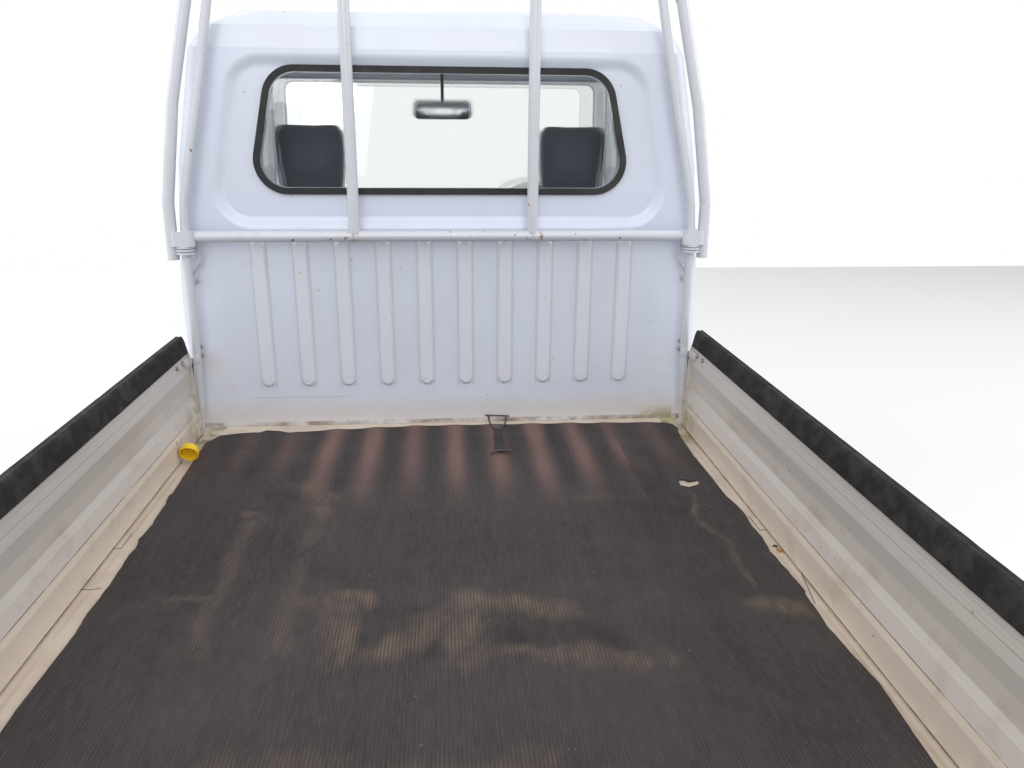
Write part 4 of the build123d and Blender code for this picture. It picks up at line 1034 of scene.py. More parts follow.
def makeWheelTrim(end, centre):
    outward = 1 if centre[0] > 0 else -1

    def spotAt(degrees, radius, out):
        angle = math.radians(degrees)
        return (centre[0] + outward * out, centre[1] + radius * math.cos(angle), centre[2] + radius * math.sin(angle))

    parts = []
    for number in range(wheelTrim["nuts"]):
        degrees = 45 + 360 / wheelTrim["nuts"] * number
        nut = spotAt(degrees, wheelTrim["nutCircle"], wheelTrim["faceOut"])
        stud = spotAt(degrees, wheelTrim["nutCircle"], wheelTrim["faceOut"] + 0.009)
        parts.append(addDisc("nut", nut, wheelTrim["nutRadius"], wheelTrim["nutLong"], "X", 6, 0.0015))
        parts.append(addDisc("stud", stud, wheelTrim["studRadius"], 0.008, "X", 14, 0.0008))
    placeJoined("wheelNuts." + pieceNames[end], parts, "wheel_" + end, "bare_steel", 30)
    profile = [(outward * out, radius) for out, radius in wheelTrim["cap"]]
    cap = turnProfile("hubCap." + pieceNames[end], profile, centre, "X", 28)
    place(cap, "wheel_" + end, "bare_steel", 40)
    startX, y, z = spotAt(wheelTrim["valveAngle"], wheelTrim["valveRadius"], 0.2)
    face = hitFromSide("rim_" + end, startX, y, z, -outward).x - outward * 0.002
    stem = addDisc("stem", (face + outward * 0.009, y, z), wheelTrim["stemRadius"], 0.018, "X", 16)
    tip = addDisc("tip", (face + outward * 0.023, y, z), wheelTrim["tipRadius"], 0.012, "X", 12, 0.0008)
    placeJoined("valve." + pieceNames[end], [stem, tip], "wheel_" + end, "black_rubber", 35)


for end, centre in wheelCentres.items():
    makeWheelTrim(end, centre)
print("wheel nuts, caps and valves")


# wall and guard frame: stays, bolts, latch screws, tabs of the gates and the edge of the window's recess

stay = {  # wire stay from each clamp of the guard frame to a bolt on the cab corner: x, y, z
    "radius": 0.0032,
    "points": [
        (0.6640, -0.2560, 1.1990), (0.6620, -0.2600, 1.1870), (0.6560, -0.2640, 1.1700), (0.6570, -0.2660, 1.1540),
        (0.6640, -0.2690, 1.1400), (0.6760, -0.2730, 1.1260), (0.6850, -0.2760, 1.1120), (0.6875, -0.2800, 1.0990),
        (0.6865, -0.2820, 1.0880), (0.6835, -0.2830, 1.0780),
    ],
    "bolt": (0.6850, 1.0885),
    "cornerBolts": [(0.6930, 0.9020), (0.6915, 0.8780)],
}
recess = {
    "wallFace": -0.2945, "corners": [(0.645, 1.229), (0.551, 1.678), (-0.551, 1.678), (-0.645, 1.229)],
    "round": 0.105, "deep": 0.012, "slope": 0.034, "cornerSteps": 14, "slopeSteps": 8,
}
gateTrim = {
    "screws": [(-0.1355, 0.8833), (-0.1837, 0.8832)],
    "tab": {"from": -0.190, "to": -0.230, "z": 0.8800, "tall": 0.020, "thick": 0.005},
    "catch": ((0.6890, -0.2400, 0.8800), (0.0170, 0.0070, 0.0240), "tube_white"),
    # black rubber stop on the post, which also fills the gap between the gate's end and the post with painted shade
    "stopAndShade": ((0.7180, -0.2495, 0.7750), (0.0340, 0.0050, 0.2100), "black_rubber"),
}


def boltOnCorner(name, sign, spot, radius):
    x, z = spot
    return addBolt(name, (sign * x, hitFromRear("cab_frame", sign * x, z).y + 0.001, z), radius, 0.006, "Y")


def makeStay(side):
    sign, gate = sides[side], "side_gate_" + side
    wire = addWire("stayWire", [(sign * x, y, z) for x, y, z in stay["points"]], stay["radius"])
    bolt = boltOnCorner("stayBolt", sign, stay["bolt"], 0.0065)
    placeJoined("guardStay." + side, [wire, bolt], "chassis", "tube_white", 40)
    heads = [boltOnCorner("cornerBolt", sign, spot, 0.0060) for spot in stay["cornerBolts"]]
    placeJoined("cornerBolts." + side, heads, "chassis", "bare_steel", 30)
    screws = []
    for y, z in gateTrim["screws"]:
        face = hitFromSide(gate, sign * 0.5, y, z, sign).x - sign * 0.0008
        screws.append(addBolt("latchScrew", (face, y, z), 0.0052, 0.004, "-X" if sign > 0 else "X"))
    placeJoined("latchScrews." + side, screws, gate, "bare_steel", 30)
    tab = gateTrim["tab"]
    face = hitFromSide(gate, sign * 0.5, tab["from"], tab["z"], sign).x - sign * 0.0015
    centre = (face, (tab["from"] + tab["to"]) / 2, tab["z"])
    size = (tab["thick"], tab["from"] - tab["to"], tab["tall"])
    place(addBlock("gateTab." + side, centre, size, 0.0015), gate, "tube_white", 40)
    for name in ("catch", "stopAndShade"):
        (x, y, z), size, slotName = gateTrim[name]
        block = addBlock("gate" + name.capitalize() + "." + side, (sign * x, y, z), size, 0.0015)
        place(block, "chassis", slotName, 40)


def recessLine():  # the recess's rounded outline, with the way out at each of its points
    corners = [Vector(corner) for corner in recess["corners"]]
    line = []
    for number, corner in enumerate(corners):
        before = (corners[number - 1] - corner).normalized()
        after = (corners[(number + 1) % len(corners)] - corner).normalized()
        half = before.angle(after) / 2
        centre = corner + (before + after).normalized() * (recess["round"] / math.sin(half))
        start = corner + before * (recess["round"] / math.tan(half)) - centre
        for step in range(recess["cornerSteps"] + 1):
            angle = (math.pi - 2 * half) * step / recess["cornerSteps"]
            sine, cosine = math.sin(angle), math.cos(angle)
            out = Vector((start.x * cosine - start.y * sine, start.x * sine + start.y * cosine))
            line.append((centre + out, out.normalized()))
    return line


def makeRecessSlope():  # rolls the wall softly down into the recess
    line = recessLine()
    piece = addGrid("recessSlope", len(line), recess["slopeSteps"])
    for vertex in piece.data.vertices:
        spot, out = line[int(round((vertex.co.x + 0.5) * len(line))) % len(line)]
        share = vertex.co.y + 0.5
        spot = spot - out * recess["slope"] * share
        drop = recess["deep"] * (0.5 - 0.5 * math.cos(math.pi * share))
        vertex.co = (spot.x, recess["wallFace"] + 0.0002 - drop, spot.y)
    editAll(piece)
    mergeDoubles(0.00002)
    leaveEdit()
    if piece.data.polygons[0].normal.y < 0:
        bpy.ops.object.mode_set(mode="EDIT")
        bpy.ops.mesh.flip_normals()
        leaveEdit()
    place(piece, "chassis", "wall_paint", 60)


onBothSides(makeStay)
makeRecessSlope()


# rubber hold-down strap hooked to the foot of the wall

strap = {
    "rubber": [  # middle x, y, half width, top z
        (-0.1440, -0.1930, 0.0075, 0.6745), (-0.1436, -0.1840, 0.0105, 0.6745), (-0.1425, -0.1500, 0.0115, 0.6735),
        (-0.1410, -0.1000, 0.0122, 0.6735), (-0.1395, -0.0500, 0.0134, 0.6735), (-0.1390, -0.0250, 0.0142, 0.6740),
    ],
    "thick": 0.0035,
    "crown": 0.0006,
    "wires": {  # radius, then x, y, z
        "bail": (0.0027, [
            (-0.1215, -0.2870, 0.6800), (-0.1220, -0.2500, 0.6760), (-0.1270, -0.2180, 0.6735),
            (-0.1390, -0.1920, 0.6730), (-0.1490, -0.1915, 0.6730), (-0.1600, -0.2130, 0.6735),
            (-0.1720, -0.2480, 0.6750), (-0.1745, -0.2870, 0.6770),
        ]),
        "wallRod": (0.00216, [
            (-0.1120, -0.2895, 0.6815), (-0.1240, -0.2893, 0.6805), (-0.1700, -0.2893, 0.6780),
            (-0.1840, -0.2895, 0.6770),
        ]),
        "toggle": (0.003105, [
            (-0.1120, -0.0110, 0.6740), (-0.1230, -0.0150, 0.6760), (-0.1370, -0.0210, 0.6765),
            (-0.1520, -0.0225, 0.6760), (-0.1690, -0.0205, 0.6735),
        ]),
    },
}


def makeStrap():
    rows = strap["rubber"]
    last = len(rows) - 1
    rubber = addGrid("holdStrap", 6, last)
    for vertex in rubber.data.vertices:
        middle, y, half, top = rows[min(int(round((vertex.co.y + 0.5) * last)), last)]
        across = 2 * vertex.co.x
        vertex.co = (middle + across * half, y, top + strap["crown"] * (1 - across ** 2))
    applyModifier(rubber, "SOLIDIFY", thickness=strap["thick"], offset=-1)
    applyModifier(rubber, "SUBSURF", levels=2, render_levels=2)
    place(rubber, "chassis", "black_rubber", 60)
    wires = [addWire(name, points, radius) for name, (radius, points) in strap["wires"].items()]
    placeJoined("strapWires", wires, "chassis", "black_plastic", 60)


makeStrap()


# yellow plastic cup lying against the left gate

cup = {
    "centre": (0.6655, -0.0200, 0.6930),
    "section": [  # along the axis towards the tail, radius
        (-0.0100, 0.0003), (-0.0100, 0.0190), (-0.0080, 0.0222), (0.0060, 0.0236), (0.0072, 0.0245), (0.0100, 0.0245),
        (0.0110, 0.0232), (0.0100, 0.0205), (0.0020, 0.0196), (-0.0030, 0.0175), (-0.0045, 0.0110), (-0.0020, 0.0098),
        (0.0030, 0.0090), (0.0030, 0.0062), (-0.0050, 0.0058), (-0.0055, 0.0003),
    ],
    "lean": 24,
    "restsAt": 0.6685,
}


def makeCup():
    piece = turnProfile("yellowCup", cup["section"], cup["centre"], "Y", 48)
    editAll(piece)
    bpy.ops.transform.rotate(value=math.radians(cup["lean"]), orient_axis="X", center_override=cup["centre"])
    leaveEdit()
    lowest = min(v.co.z for v in piece.data.vertices)
    for vertex in piece.data.vertices:
        vertex.co.z += cup["restsAt"] - lowest
    place(piece, "chassis", "yellow_cup", 40)


makeCup()


# strip between mat and gate: a small plate in a dark gap at each hinge, a seam across, and a black disc as the
# painted shade of a drain hole

strip = {
    "floor": 0.6602,
    "plate": (0.0230, 0.0640, 0.0010), "plateX": 0.6920, "gap": 0.0014,
    "plateYs": {"left": (0.3930, 1.4600), "right": (0.4040, 1.4600)},
    "seams": {"left": [(0.6600, 0.5815), (0.6800, 0.5850), (0.7050, 0.5820)],
              "right": [(-0.7010, 0.6000), (-0.6920, 0.6325), (-0.6746, 0.7265)]},
    "drain": (-0.6855, 0.5085, 0.6601),
}


def makeHingePlates(side):
    width, long, thick = strip["plate"]
    x, z, gap = sides[side] * strip["plateX"], strip["floor"], strip["gap"]
    plates, gaps = [], []
    for y in strip["plateYs"][side]:
        plates.append(addBlock("plate", (x, y, z + thick / 2), strip["plate"], 0.0004, 1))
        gaps.append(addBlock("gap", (x, y, z), (width + 2 * gap, long + 2 * gap, 0.0006), 0.0001, 1))
    seam = [(seamX, y, z - 0.0001) for seamX, y in strip["seams"][side]]
    gaps.append(addWire("seam", seam, 0.0008, smooth=False))
    placeJoined("hingePlates." + side, plates, "chassis", "bed_paint", 30)
    placeJoined("hingeGaps." + side, gaps, "chassis", "chassis_black", 30)


onBothSides(makeHingePlates)
# black disc: painted shade of the drain hole
place(addDisc("drainHoleShade", strip["drain"], 0.0058, 0.0006, "Z", 20, 0.0001), "chassis", "black_plastic", 30)
print("stays, strap, cup and hinge plates")


# tailgate latches: a lever with its grip on each corner

latch = {"lever": (0.012, 0.0075, 0.085), "inFromEnd": 0.0295, "leverDown": 0.076, "gripDown": 0.120}


def makeLatch(side):
    low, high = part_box("tailgate")
    x = sides[side] * (high.x - latch["inFromEnd"])
    centre = (x, high.y - latch["lever"][1] / 2 - 0.001, high.z - latch["leverDown"])
    lever = addBlock("lever", centre, latch["lever"], 0.0025)
    grip = addDisc("grip", (x, high.y - 0.0068, high.z - latch["gripDown"]), 0.0068, 0.030, "X", 20, 0.002)
    placeJoined("latchLever." + side, [lever, grip], "tailgate", "bare_steel", 40)


onBothSides(makeLatch)


# headlamps: bowl, bulb and housing behind each lens, and a bezel round it

lamp = {"behindLens": 0.0440, "bowlRadius": 0.068, "bowlDeep": 0.048, "bowlSteps": 8, "bulbHole": 0.004,
        "wall": 0.002, "housingDeep": 0.062, "housingMargin": 0.006, "bezel": 0.0045}


def makeBowl(side, spot):
    inner = []
    for step in range(lamp["bowlSteps"] + 1):
        radius = (lamp["bowlRadius"] - lamp["bulbHole"]) * (1 - step / lamp["bowlSteps"]) + lamp["bulbHole"]
        inner.append((lamp["bowlDeep"] * (1 - (radius / lamp["bowlRadius"]) ** 2), radius))
    section = inner + [(offset + lamp["wall"], radius) for offset, radius in reversed(inner)]
    place(turnProfile("lampBowl." + side, section, spot, "Y", 40), "chassis", "mirror_glass", 60)


def makeHeadlamp(side):
    low, high = halfBox("headlamps", side)
    middle = (low + high) / 2
    rim = hitFromFront("headlamps", middle.x, middle.z).y + lamp["behindLens"]
    makeBowl(side, (middle.x, rim, middle.z))
    bulb = addDisc("lampBulb." + side, (middle.x, rim + 0.026, middle.z), 0.0065, 0.034, "Y", 20, 0.003)
    place(bulb, "chassis", "lamp_clear", 40)
    size = (high.x - low.x - lamp["housingMargin"], lamp["housingDeep"], high.z - low.z - lamp["housingMargin"])
    housing = addBlock("lampHousing." + side, (middle.x, rim + lamp["housingDeep"] / 2, middle.z), size, 0)
    deleteWhere(housing, "FACE", lambda face: face.normal.y < -0.5)
    applyModifier(housing, "SOLIDIFY", thickness=lamp["wall"], offset=-1)
    place(housing, "chassis", "black_plastic", 30)
    points = []
    for x, z in (
        (low.x, low.z), (middle.x, low.z), (high.x, low.z), (high.x, middle.z),
        (high.x, high.z), (middle.x, high.z), (low.x, high.z), (low.x, middle.z),
    ):
        inX, inZ = x + (middle.x - x) * 0.03, z + (middle.z - z) * 0.03
        points.append((x, hitFromFront("headlamps", inX, inZ).y - 0.0005, z))
    bezel = addWire("lampBezel." + side, points, lamp["bezel"], smooth=False, closed=True)
    place(bezel, "chassis", "black_plastic", 50)


onBothSides(makeHeadlamp)


# front: dark strips as painted shade in the grille slots, cowl vents and the seam of the service lid

front = {
    "columns": 40, "proud": 0.0012,
    # grille strips are painted shade inside the slots; the cowl strips are black vent slats
    "grille": {"middles": (0,), "half": 0.3795, "heights": (0.672, 0.696, 0.720), "tall": 0.0105},
    "cowl": {"middles": (0.30, -0.30), "half": 0.11, "heights": (1.062, 1.048), "tall": 0.0060},
    "lid": {"half": 0.470, "low": 0.800, "high": 1.020, "steps": 26, "wire": 0.0016},
}


def makeFrontStrip(middle, half, height, tall):
    piece = addGrid("strip", front["columns"], 2)
    for vertex in piece.data.vertices:
        x, z = middle + vertex.co.x * 2 * half, height + vertex.co.y * tall
        vertex.co = (x, hitFromFront("cab_front_panel", x, z).y - front["proud"], z)
    applyModifier(piece, "SOLIDIFY", thickness=0.001, offset=0)
    return piece


def makeFrontStrips():
    pieces = []
    for group in (front["grille"], front["cowl"]):
        for middle in group["middles"]:
            for height in group["heights"]:
                pieces.append(makeFrontStrip(middle, group["half"], height, group["tall"]))
    placeJoined("frontStrips", pieces, "chassis", "black_plastic", 40)


def makeLidSeam():
    lid = front["lid"]
    half, low, high = lid["half"], lid["low"], lid["high"]
    corners = [(half, low), (half, high), (-half, high), (-half, low)]
    points = []
    for (x, z), (nextX, nextZ) in zip(corners, corners[1:] + corners[:1]):
        for step in range(lid["steps"]):
            share = step / lid["steps"]
            spotX, spotZ = x + (nextX - x) * share, z + (nextZ - z) * share
            points.append((spotX, hitFromFront("cab_front_panel", spotX, spotZ).y, spotZ))
    place(addWire("lidSeam", points, lid["wire"], closed=True), "chassis", "black_plastic", 50)


makeFrontStrips()
makeLidSeam()


# tail lamps: red, amber and clear lenses on a dark housing

tailLens = {"rows": (("lamp_red", 0.068), ("lamp_amber", 0.040), ("lamp_clear", 0.027)),
            "gap": 0.0025, "proud": 0.006, "margin": 0.0035}


def makeTailLenses(side):
    low, high = halfBox("tail_lamps", side)
    sign = sides[side]
    edge = high.x if sign > 0 else low.x
    done = tailLens["margin"]
    for slotName, width in tailLens["rows"]:
        centre = (edge - sign * (done + width / 2), high.y + tailLens["proud"] / 2 - 0.001, (low.z + high.z) / 2)
        size = (width - tailLens["gap"], tailLens["proud"], high.z - low.z - 2 * tailLens["margin"])
        lens = addBlock("tailLens" + slotName[5:].capitalize() + "." + side, centre, size, 0.0022, 3)
        place(lens, "chassis", slotName, 40)
        done += width


onBothSides(makeTailLenses)
print("lamps and latches")


# doors: handle in its recess, lock, mirror face, window rubber, inner card with grip and winder

door = {
    "handle": {"y": -0.6400, "z": 1.0180, "long": 0.118, "tall": 0.022, "thick": 0.009},
    "lock": {"y": -0.5480, "z": 1.0130, "radius": 0.0095},
    "mirror": {"inward": 0.066, "wide": 0.112, "margin": 0.030, "thick": 0.0016},
    "seal": 0.0045,
    "card": {"at": (-0.940, 0.860), "size": (0.006, 0.60, 0.30), "probe": (-0.90, 0.80)},
    "winder": (-0.930, 0.870),
}


def makeDoorHandle(side):
    sign, node, handle, lock = sides[side], "door_" + side, door["handle"], door["lock"]
    y, z = handle["y"], handle["z"]
    deep = hitFromSide(node, sign, y, z, -sign).x
    skin = hitFromSide(node, sign, y, z + 0.045, -sign).x
    size = (handle["thick"], handle["long"], handle["tall"])
    parts = [addBlock("bar", (skin - sign * 0.0005, y, z + 0.002), size, 0.0035, 3)]
    for end in (-1, 1):
        centre = ((skin + deep) / 2, y + end * handle["long"] * 0.44, z)
        parts.append(addBlock("post", centre, (abs(skin - deep) + 0.004, 0.012, 0.016), 0.002))
    placeJoined("doorHandle." + side, parts, node, "black_plastic", 40)
    face = hitFromSide(node, sign, lock["y"], lock["z"], -sign).x
    disc = addDisc("doorLock." + side, (face, lock["y"], lock["z"]), lock["radius"], 0.005, "X", 28, 0.0012)
    place(disc, node, "bare_steel", 40)


def makeMirrorFace(side):  # laid on the housing's own face, vertex by vertex
    sign, node, mirror = sides[side], "door_mirror_" + side, door["mirror"]
    low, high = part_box(node)
    x = (high.x if sign > 0 else low.x) - sign * mirror["inward"]
    y, z = high.y - 0.0090, (low.z + high.z) / 2
    size = (mirror["wide"], mirror["thick"], high.z - low.z - mirror["margin"])
    glass = addBlock("mirrorFace." + side, (x, y, z), size, 0.0006, 2)
    middleY = hitFromRear(node, x, z).y
    for vertex in glass.data.vertices:
        surface = hitFromRear(node, vertex.co.x, z)
        base = surface.y if surface else middleY
        vertex.co.y = base + 0.0004 + (0.0012 if vertex.co.y > y else 0)
    place(glass, "door_" + side, "mirror_glass", 40)


def makeDoorSeal(side):
    sign, node = sides[side], "door_glass_" + side
    points = []
    for corner in outlineOf(node, 1, 2):
        surface = hitFromSide(node, sign * 1.2, corner.y * 0.98 - 0.018, corner.z * 0.98 + 0.028, -sign)
        points.append((surface.x + sign * 0.0005 if surface else corner.x, corner.y, corner.z))
    rubber = addWire("doorSeal." + side, points, door["seal"], smooth=False, closed=True)
    place(rubber, "door_" + side, "black_rubber", 60)


def makeDoorCard(side):
    sign, node = sides[side], "door_" + side
    inside = hitFromSide(node, sign * 0.4, *door["card"]["probe"], sign).x
    card = addBlock("card", (inside - sign * 0.002, *door["card"]["at"]), door["card"]["size"], 0.0028, 3)
    for vertex in card.data.vertices:
        surface = hitFromSide(node, sign * 0.4, vertex.co.y, vertex.co.z, sign)
        if surface:
            vertex.co.x += surface.x - inside
    grip = addBlock("grip", (inside - sign * 0.022, -0.820, 0.930), (0.030, 0.150, 0.026), 0.009, 3)
    y, z = door["winder"]
    boss = addDisc("boss", (inside - sign * 0.010, y, z), 0.020, 0.014, "X", 28, 0.002)
    crank = addBlock("crank", (inside - sign * 0.020, y - 0.028, z - 0.022), (0.006, 0.085, 0.014), 0.002)
    knob = addDisc("knob", (inside - sign * 0.030, y - 0.064, z - 0.022), 0.009, 0.022, "X", 20, 0.002)
    placeJoined("doorCard." + side, [card, grip, boss, crank, knob], node, "dash_plastic", 35)


onBothSides(makeDoorHandle, makeMirrorFace, makeDoorSeal, makeDoorCard)
print("door trim")


# windscreen: rubber round it and two wipers

windscreenSeal = 0.0065
wiper = {
    "pivots": (0.335, -0.115), "pivotZ": 1.092, "reach": 0.235, "rise": 0.066, "tilt": 0.10, "steps": 16,
    "armShares": (0, 0.15, 0.4, 0.7, 1), "armRadius": 0.0042,
    "lines": (("blade", 0.200, 0.0045, 0.0032), ("spine", 0.124, 0.0115, 0.0030)),  # half length, off, radius
}


def onGlass(x, z, off):  # a place just in front of the glass, or of the panel below it
    for node in ("windscreen", "cab_frame", "cab_front_panel"):
        surface = hitFromFront(node, x, z)
        if surface:
            return (x, surface.y - off, z)


def makeWindscreenSeal():
    outline = outlineOf("windscreen", 0, 2)
    middle = sum(outline, Vector()) / len(outline)
    points = []
    for corner in outline:
        nearer = corner + (middle - corner) * 0.018
        surface = hitFromFront("windscreen", nearer.x, nearer.z)
        points.append((corner.x, surface.y - 0.001 if surface else corner.y, corner.z))
    rubber = addWire("windscreenSeal", points, windscreenSeal, smooth=False, closed=True)
    place(rubber, "chassis", "black_rubber", 60)


def makeWiper(number, pivotX):
    low, reach, rise = wiper["pivotZ"], wiper["reach"], wiper["rise"]
    arm = []
    for share in wiper["armShares"]:
        off = 0.013 + 0.006 * math.sin(math.pi * share)
        arm.append(onGlass(pivotX - reach * share, low + rise * share ** 0.6, off))
    parts = [addWire("arm", arm, wiper["armRadius"])]
    for name, half, off, radius in wiper["lines"]:
        line = []
        for step in range(wiper["steps"] + 1):
            away = half * (2 * step / wiper["steps"] - 1)
            line.append(onGlass(pivotX - reach - away, low + rise + away * wiper["tilt"], off))
        parts.append(addWire(name, line, radius))
    parts.append(addDisc("boss", onGlass(pivotX, low, 0.006), 0.011, 0.014, "Y", 24, 0.002))
    placeJoined("wiper" + str(number), parts, "chassis", "black_plastic", 50)


makeWindscreenSeal()
for number, pivotX in enumerate(wiper["pivots"], 1):
    makeWiper(number, pivotX)


# dashboard: dials under the hood, vent slats, radio face with knobs, glovebox catch, column stalks

dash = {
    "wheelX": -0.370,
    "dials": {"x": (-0.052, 0.056), "z": 1.113, "radius": 0.033, "ticks": 19, "from": -135, "step": 15},
    "plate": {"z": 1.112, "size": (0.246, 0.003, 0.068)},
    "vents": {"middles": ((0.0, 0.075), (0.5675, 0.045), (-0.5675, 0.045)), "y": -1.4330, "low": 0.9905,
              "tall": 0.0420, "slats": 4},
    "radio": {"z": 0.935, "size": (0.184, 0.008, 0.048), "knobs": (-0.070, 0.070), "keyZ": 0.924, "keys": 5,
              "keyFrom": -0.036, "keyPitch": 0.018, "keySize": (0.014, 0.006, 0.008)},
    "catch": {"x": 0.310, "z": 0.975, "size": (0.046, 0.010, 0.014)},
    "stalk": [(0.026, -1.300, 1.069), (0.096, -1.290, 1.083), (0.161, -1.278, 1.095)],
}


def turnOnDial(piece, centre, degrees, reach):  # moves a mark out from the dial's middle and turns it there
    angle = math.radians(degrees)
    for vertex in piece.data.vertices:
        x, y, z = vertex.co.x, vertex.co.y, vertex.co.z + reach
        vertex.co = Vector(centre) + Vector((x * math.cos(angle) + z * math.sin(angle), y,
                                             z * math.cos(angle) - x * math.sin(angle)))
    return piece


def makeDial(x, back):
    dials = dash["dials"]
    radius, z = dials["radius"], dials["z"]
    ring = [(0.0, radius), (0.007, radius), (0.009, radius + 0.0015), (0.007, radius + 0.003), (0.0, radius + 0.003)]
    bezel = turnProfile("bezel", ring, (x, back + 0.003, z), "Y", 40)
    marks = []
    for number in range(dials["ticks"]):
        long = 0.006 if number % 3 == 0 else 0.0035
        tick = addBlock("tick", (0, 0, 0), (0.0011, 0.0010, long), 0, 1)
        degrees = dials["from"] + dials["step"] * number
        marks.append(turnOnDial(tick, (x, back + 0.0038, z), degrees, radius - 0.003 - long / 2))
    needle = addBlock("needle", (0, 0, 0), (0.0018, 0.0012, radius * 0.8), 0.0003, 1)
    marks.append(turnOnDial(needle, (x, back + 0.0055, z), dials["from"], radius * 0.3))
    marks.append(addDisc("pin", (x, back + 0.0065, z), 0.0045, 0.004, "Y", 20, 0.001))
    return bezel, marks


def makeDials():
    back = hitFromRear("dashboard", dash["wheelX"] + 0.10, 1.116, -1.0).y
    plate = dash["plate"]
    face = addBlock("dialPlate", (dash["wheelX"], back + 0.0015, plate["z"]), plate["size"], 0.001)
    place(face, "chassis", "black_plastic", 30)
    bezels, marks = [], []
    for offset in dash["dials"]["x"]:
        bezel, ownMarks = makeDial(dash["wheelX"] + offset, back)
        bezels.append(bezel)
        marks += ownMarks
    placeJoined("dialBezels", bezels, "chassis", "bare_steel", 40)
    placeJoined("dialMarks", marks, "chassis", "body_white", 30)


def makeDashFittings():
    vents, radio, catch = dash["vents"], dash["radio"], dash["catch"]
    parts = []
    for middle, half in vents["middles"]:
        for number in range(1, vents["slats"] + 1):
            z = vents["low"] + vents["tall"] / (vents["slats"] + 1) * number
            parts.append(addBlock("slat", (middle, vents["y"], z), (half * 2 - 0.002, 0.016, 0.0024), 0.0006, 1))
    back = hitFromRear("dashboard", 0.0, radio["z"], -1.0).y
    parts.append(addBlock("radioFace", (0, back + 0.004, radio["z"]), radio["size"]))
    for x in radio["knobs"]:
        parts.append(addDisc("radioKnob", (x, back + 0.014, radio["z"]), 0.011, 0.016, "Y", 24, 0.0015))
    for number in range(radio["keys"]):
        centre = (radio["keyFrom"] + radio["keyPitch"] * number, back + 0.0105, radio["keyZ"])
        parts.append(addBlock("radioKey", centre, radio["keySize"], 0.001))
    placeJoined("dashFittings", parts, "chassis", "black_plastic", 30)
    back = hitFromRear("dashboard", catch["x"], catch["z"], -1.0).y
    block = addBlock("gloveboxCatch", (catch["x"], back + 0.005, catch["z"]), catch["size"], 0.003)
    place(block, "chassis", "black_plastic", 35)
    stalks = []
    for sign in (-1, 1):
        stalks.append(addWire("stalk", [(dash["wheelX"] + sign * x, y, z) for x, y, z in dash["stalk"]], 0.0048))
    placeJoined("columnStalks", stalks, "chassis", "black_plastic", 50)


makeDials()
makeDashFittings()


# cab inside: gear lever, hand brake, pedals, belts, mirror face

cab = {
    "gearLever": [(-0.040, -1.255, 0.722), (-0.042, -1.262, 0.800), (-0.052, -1.238, 0.880), (-0.060, -1.205, 0.955)],
    "bootAt": (-0.040, -1.255, 0.7205),
    "boot": [  # up from the floor, radius
        (0.0, 0.002), (0.0, 0.046), (0.006, 0.047), (0.014, 0.040), (0.022, 0.041), (0.032, 0.031), (0.040, 0.032),
        (0.052, 0.020), (0.060, 0.018), (0.062, 0.010), (0.062, 0.002),
    ],
    "knob": [(-0.022, 0.0003), (-0.020, 0.011), (-0.008, 0.019), (0.008, 0.022), (0.018, 0.017), (0.023, 0.007),
             (0.024, 0.0003)],
    "handBrake": [(0.050, -1.020, 0.735), (0.050, -1.080, 0.765), (0.050, -1.190, 0.815)],
    "brakeGrip": [(0.050, -1.100, 0.774), (0.050, -1.150, 0.797), (0.050, -1.200, 0.820)],
    "pedals": ((-0.255, 0.575, 0.045, 0.120), (-0.360, 0.605, 0.056, 0.046), (-0.465, 0.605, 0.056, 0.046)),
    "ribPitch": 0.010,
    "beltX": 0.655,
    "belt": [(-0.500, 1.52), (-0.505, 1.30), (-0.510, 1.05), (-0.515, 0.80), (-0.520, 0.735)],  # y, z
    "beltWide": 0.046,
    "mirror": {"x": -0.0025, "z": 1.561, "size": (0.204, 0.0016, 0.054)},
}


def makeLevers():
    boot = turnProfile("gearBoot", cab["boot"], cab["bootAt"], "Z", 32)
    stick = addWire("stick", cab["gearLever"], 0.0065)
    knob = turnProfile("knob", cab["knob"], cab["gearLever"][-1], "Z", 28)
    placeJoined("gearLever", [boot, stick, knob], "chassis", "black_plastic", 50)
    base = addBlock("brakeBase", (0.050, -1.010, 0.735), (0.040, 0.090, 0.032), 0.006)
    arm = addWire("brakeArm", cab["handBrake"], 0.0085)
    grip = addWire("brakeGrip", cab["brakeGrip"], 0.0145)
    placeJoined("handBrake", [base, arm, grip], "chassis", "black_plastic", 50)


def makePedal(number, x, z, width, tall):  # x and z of the pad's middle
    parts = [addBlock("pedalPad", (x, -1.440, z), (width, 0.014, tall), 0.004)]
    for step in range(1, int(tall / cab["ribPitch"])):
        centre = (x, -1.4320, z - tall / 2 + cab["ribPitch"] * step)
        parts.append(addBlock("rib", centre, (width - 0.012, 0.004, 0.003), 0.001, 1))
    parts.append(addWire("pedalRod", [(x, -1.446, z), (x, -1.480, 0.700), (x, -1.500, 0.830)], 0.0075))
    placeJoined("pedal" + str(number), parts, "chassis", "black_plastic", 40)


def makeBelt(side):
    sign, last = sides[side], len(cab["belt"]) - 1
    x = sign * cab["beltX"]
    band = addGrid("belt." + side, 3, last)
    for vertex in band.data.vertices:
        row = min(last, int(round((vertex.co.y + 0.5) * last)))
        y, z = cab["belt"][row]
        inward = 0.028 if row == 0 else 0
        vertex.co = (x - sign * inward, y + vertex.co.x * cab["beltWide"], z)
    applyModifier(band, "SOLIDIFY", thickness=0.0016, offset=0)
    anchor = addBlock("anchor", (x - sign * 0.026, -0.500, 1.530), (0.014, 0.060, 0.040), 0.006)
    reel = addBlock("reel", (x, -0.520, 0.735), (0.040, 0.060, 0.050), 0.006)
    placeJoined("seatBelt." + side, [band, anchor, reel], "chassis", "black_plastic", 50)


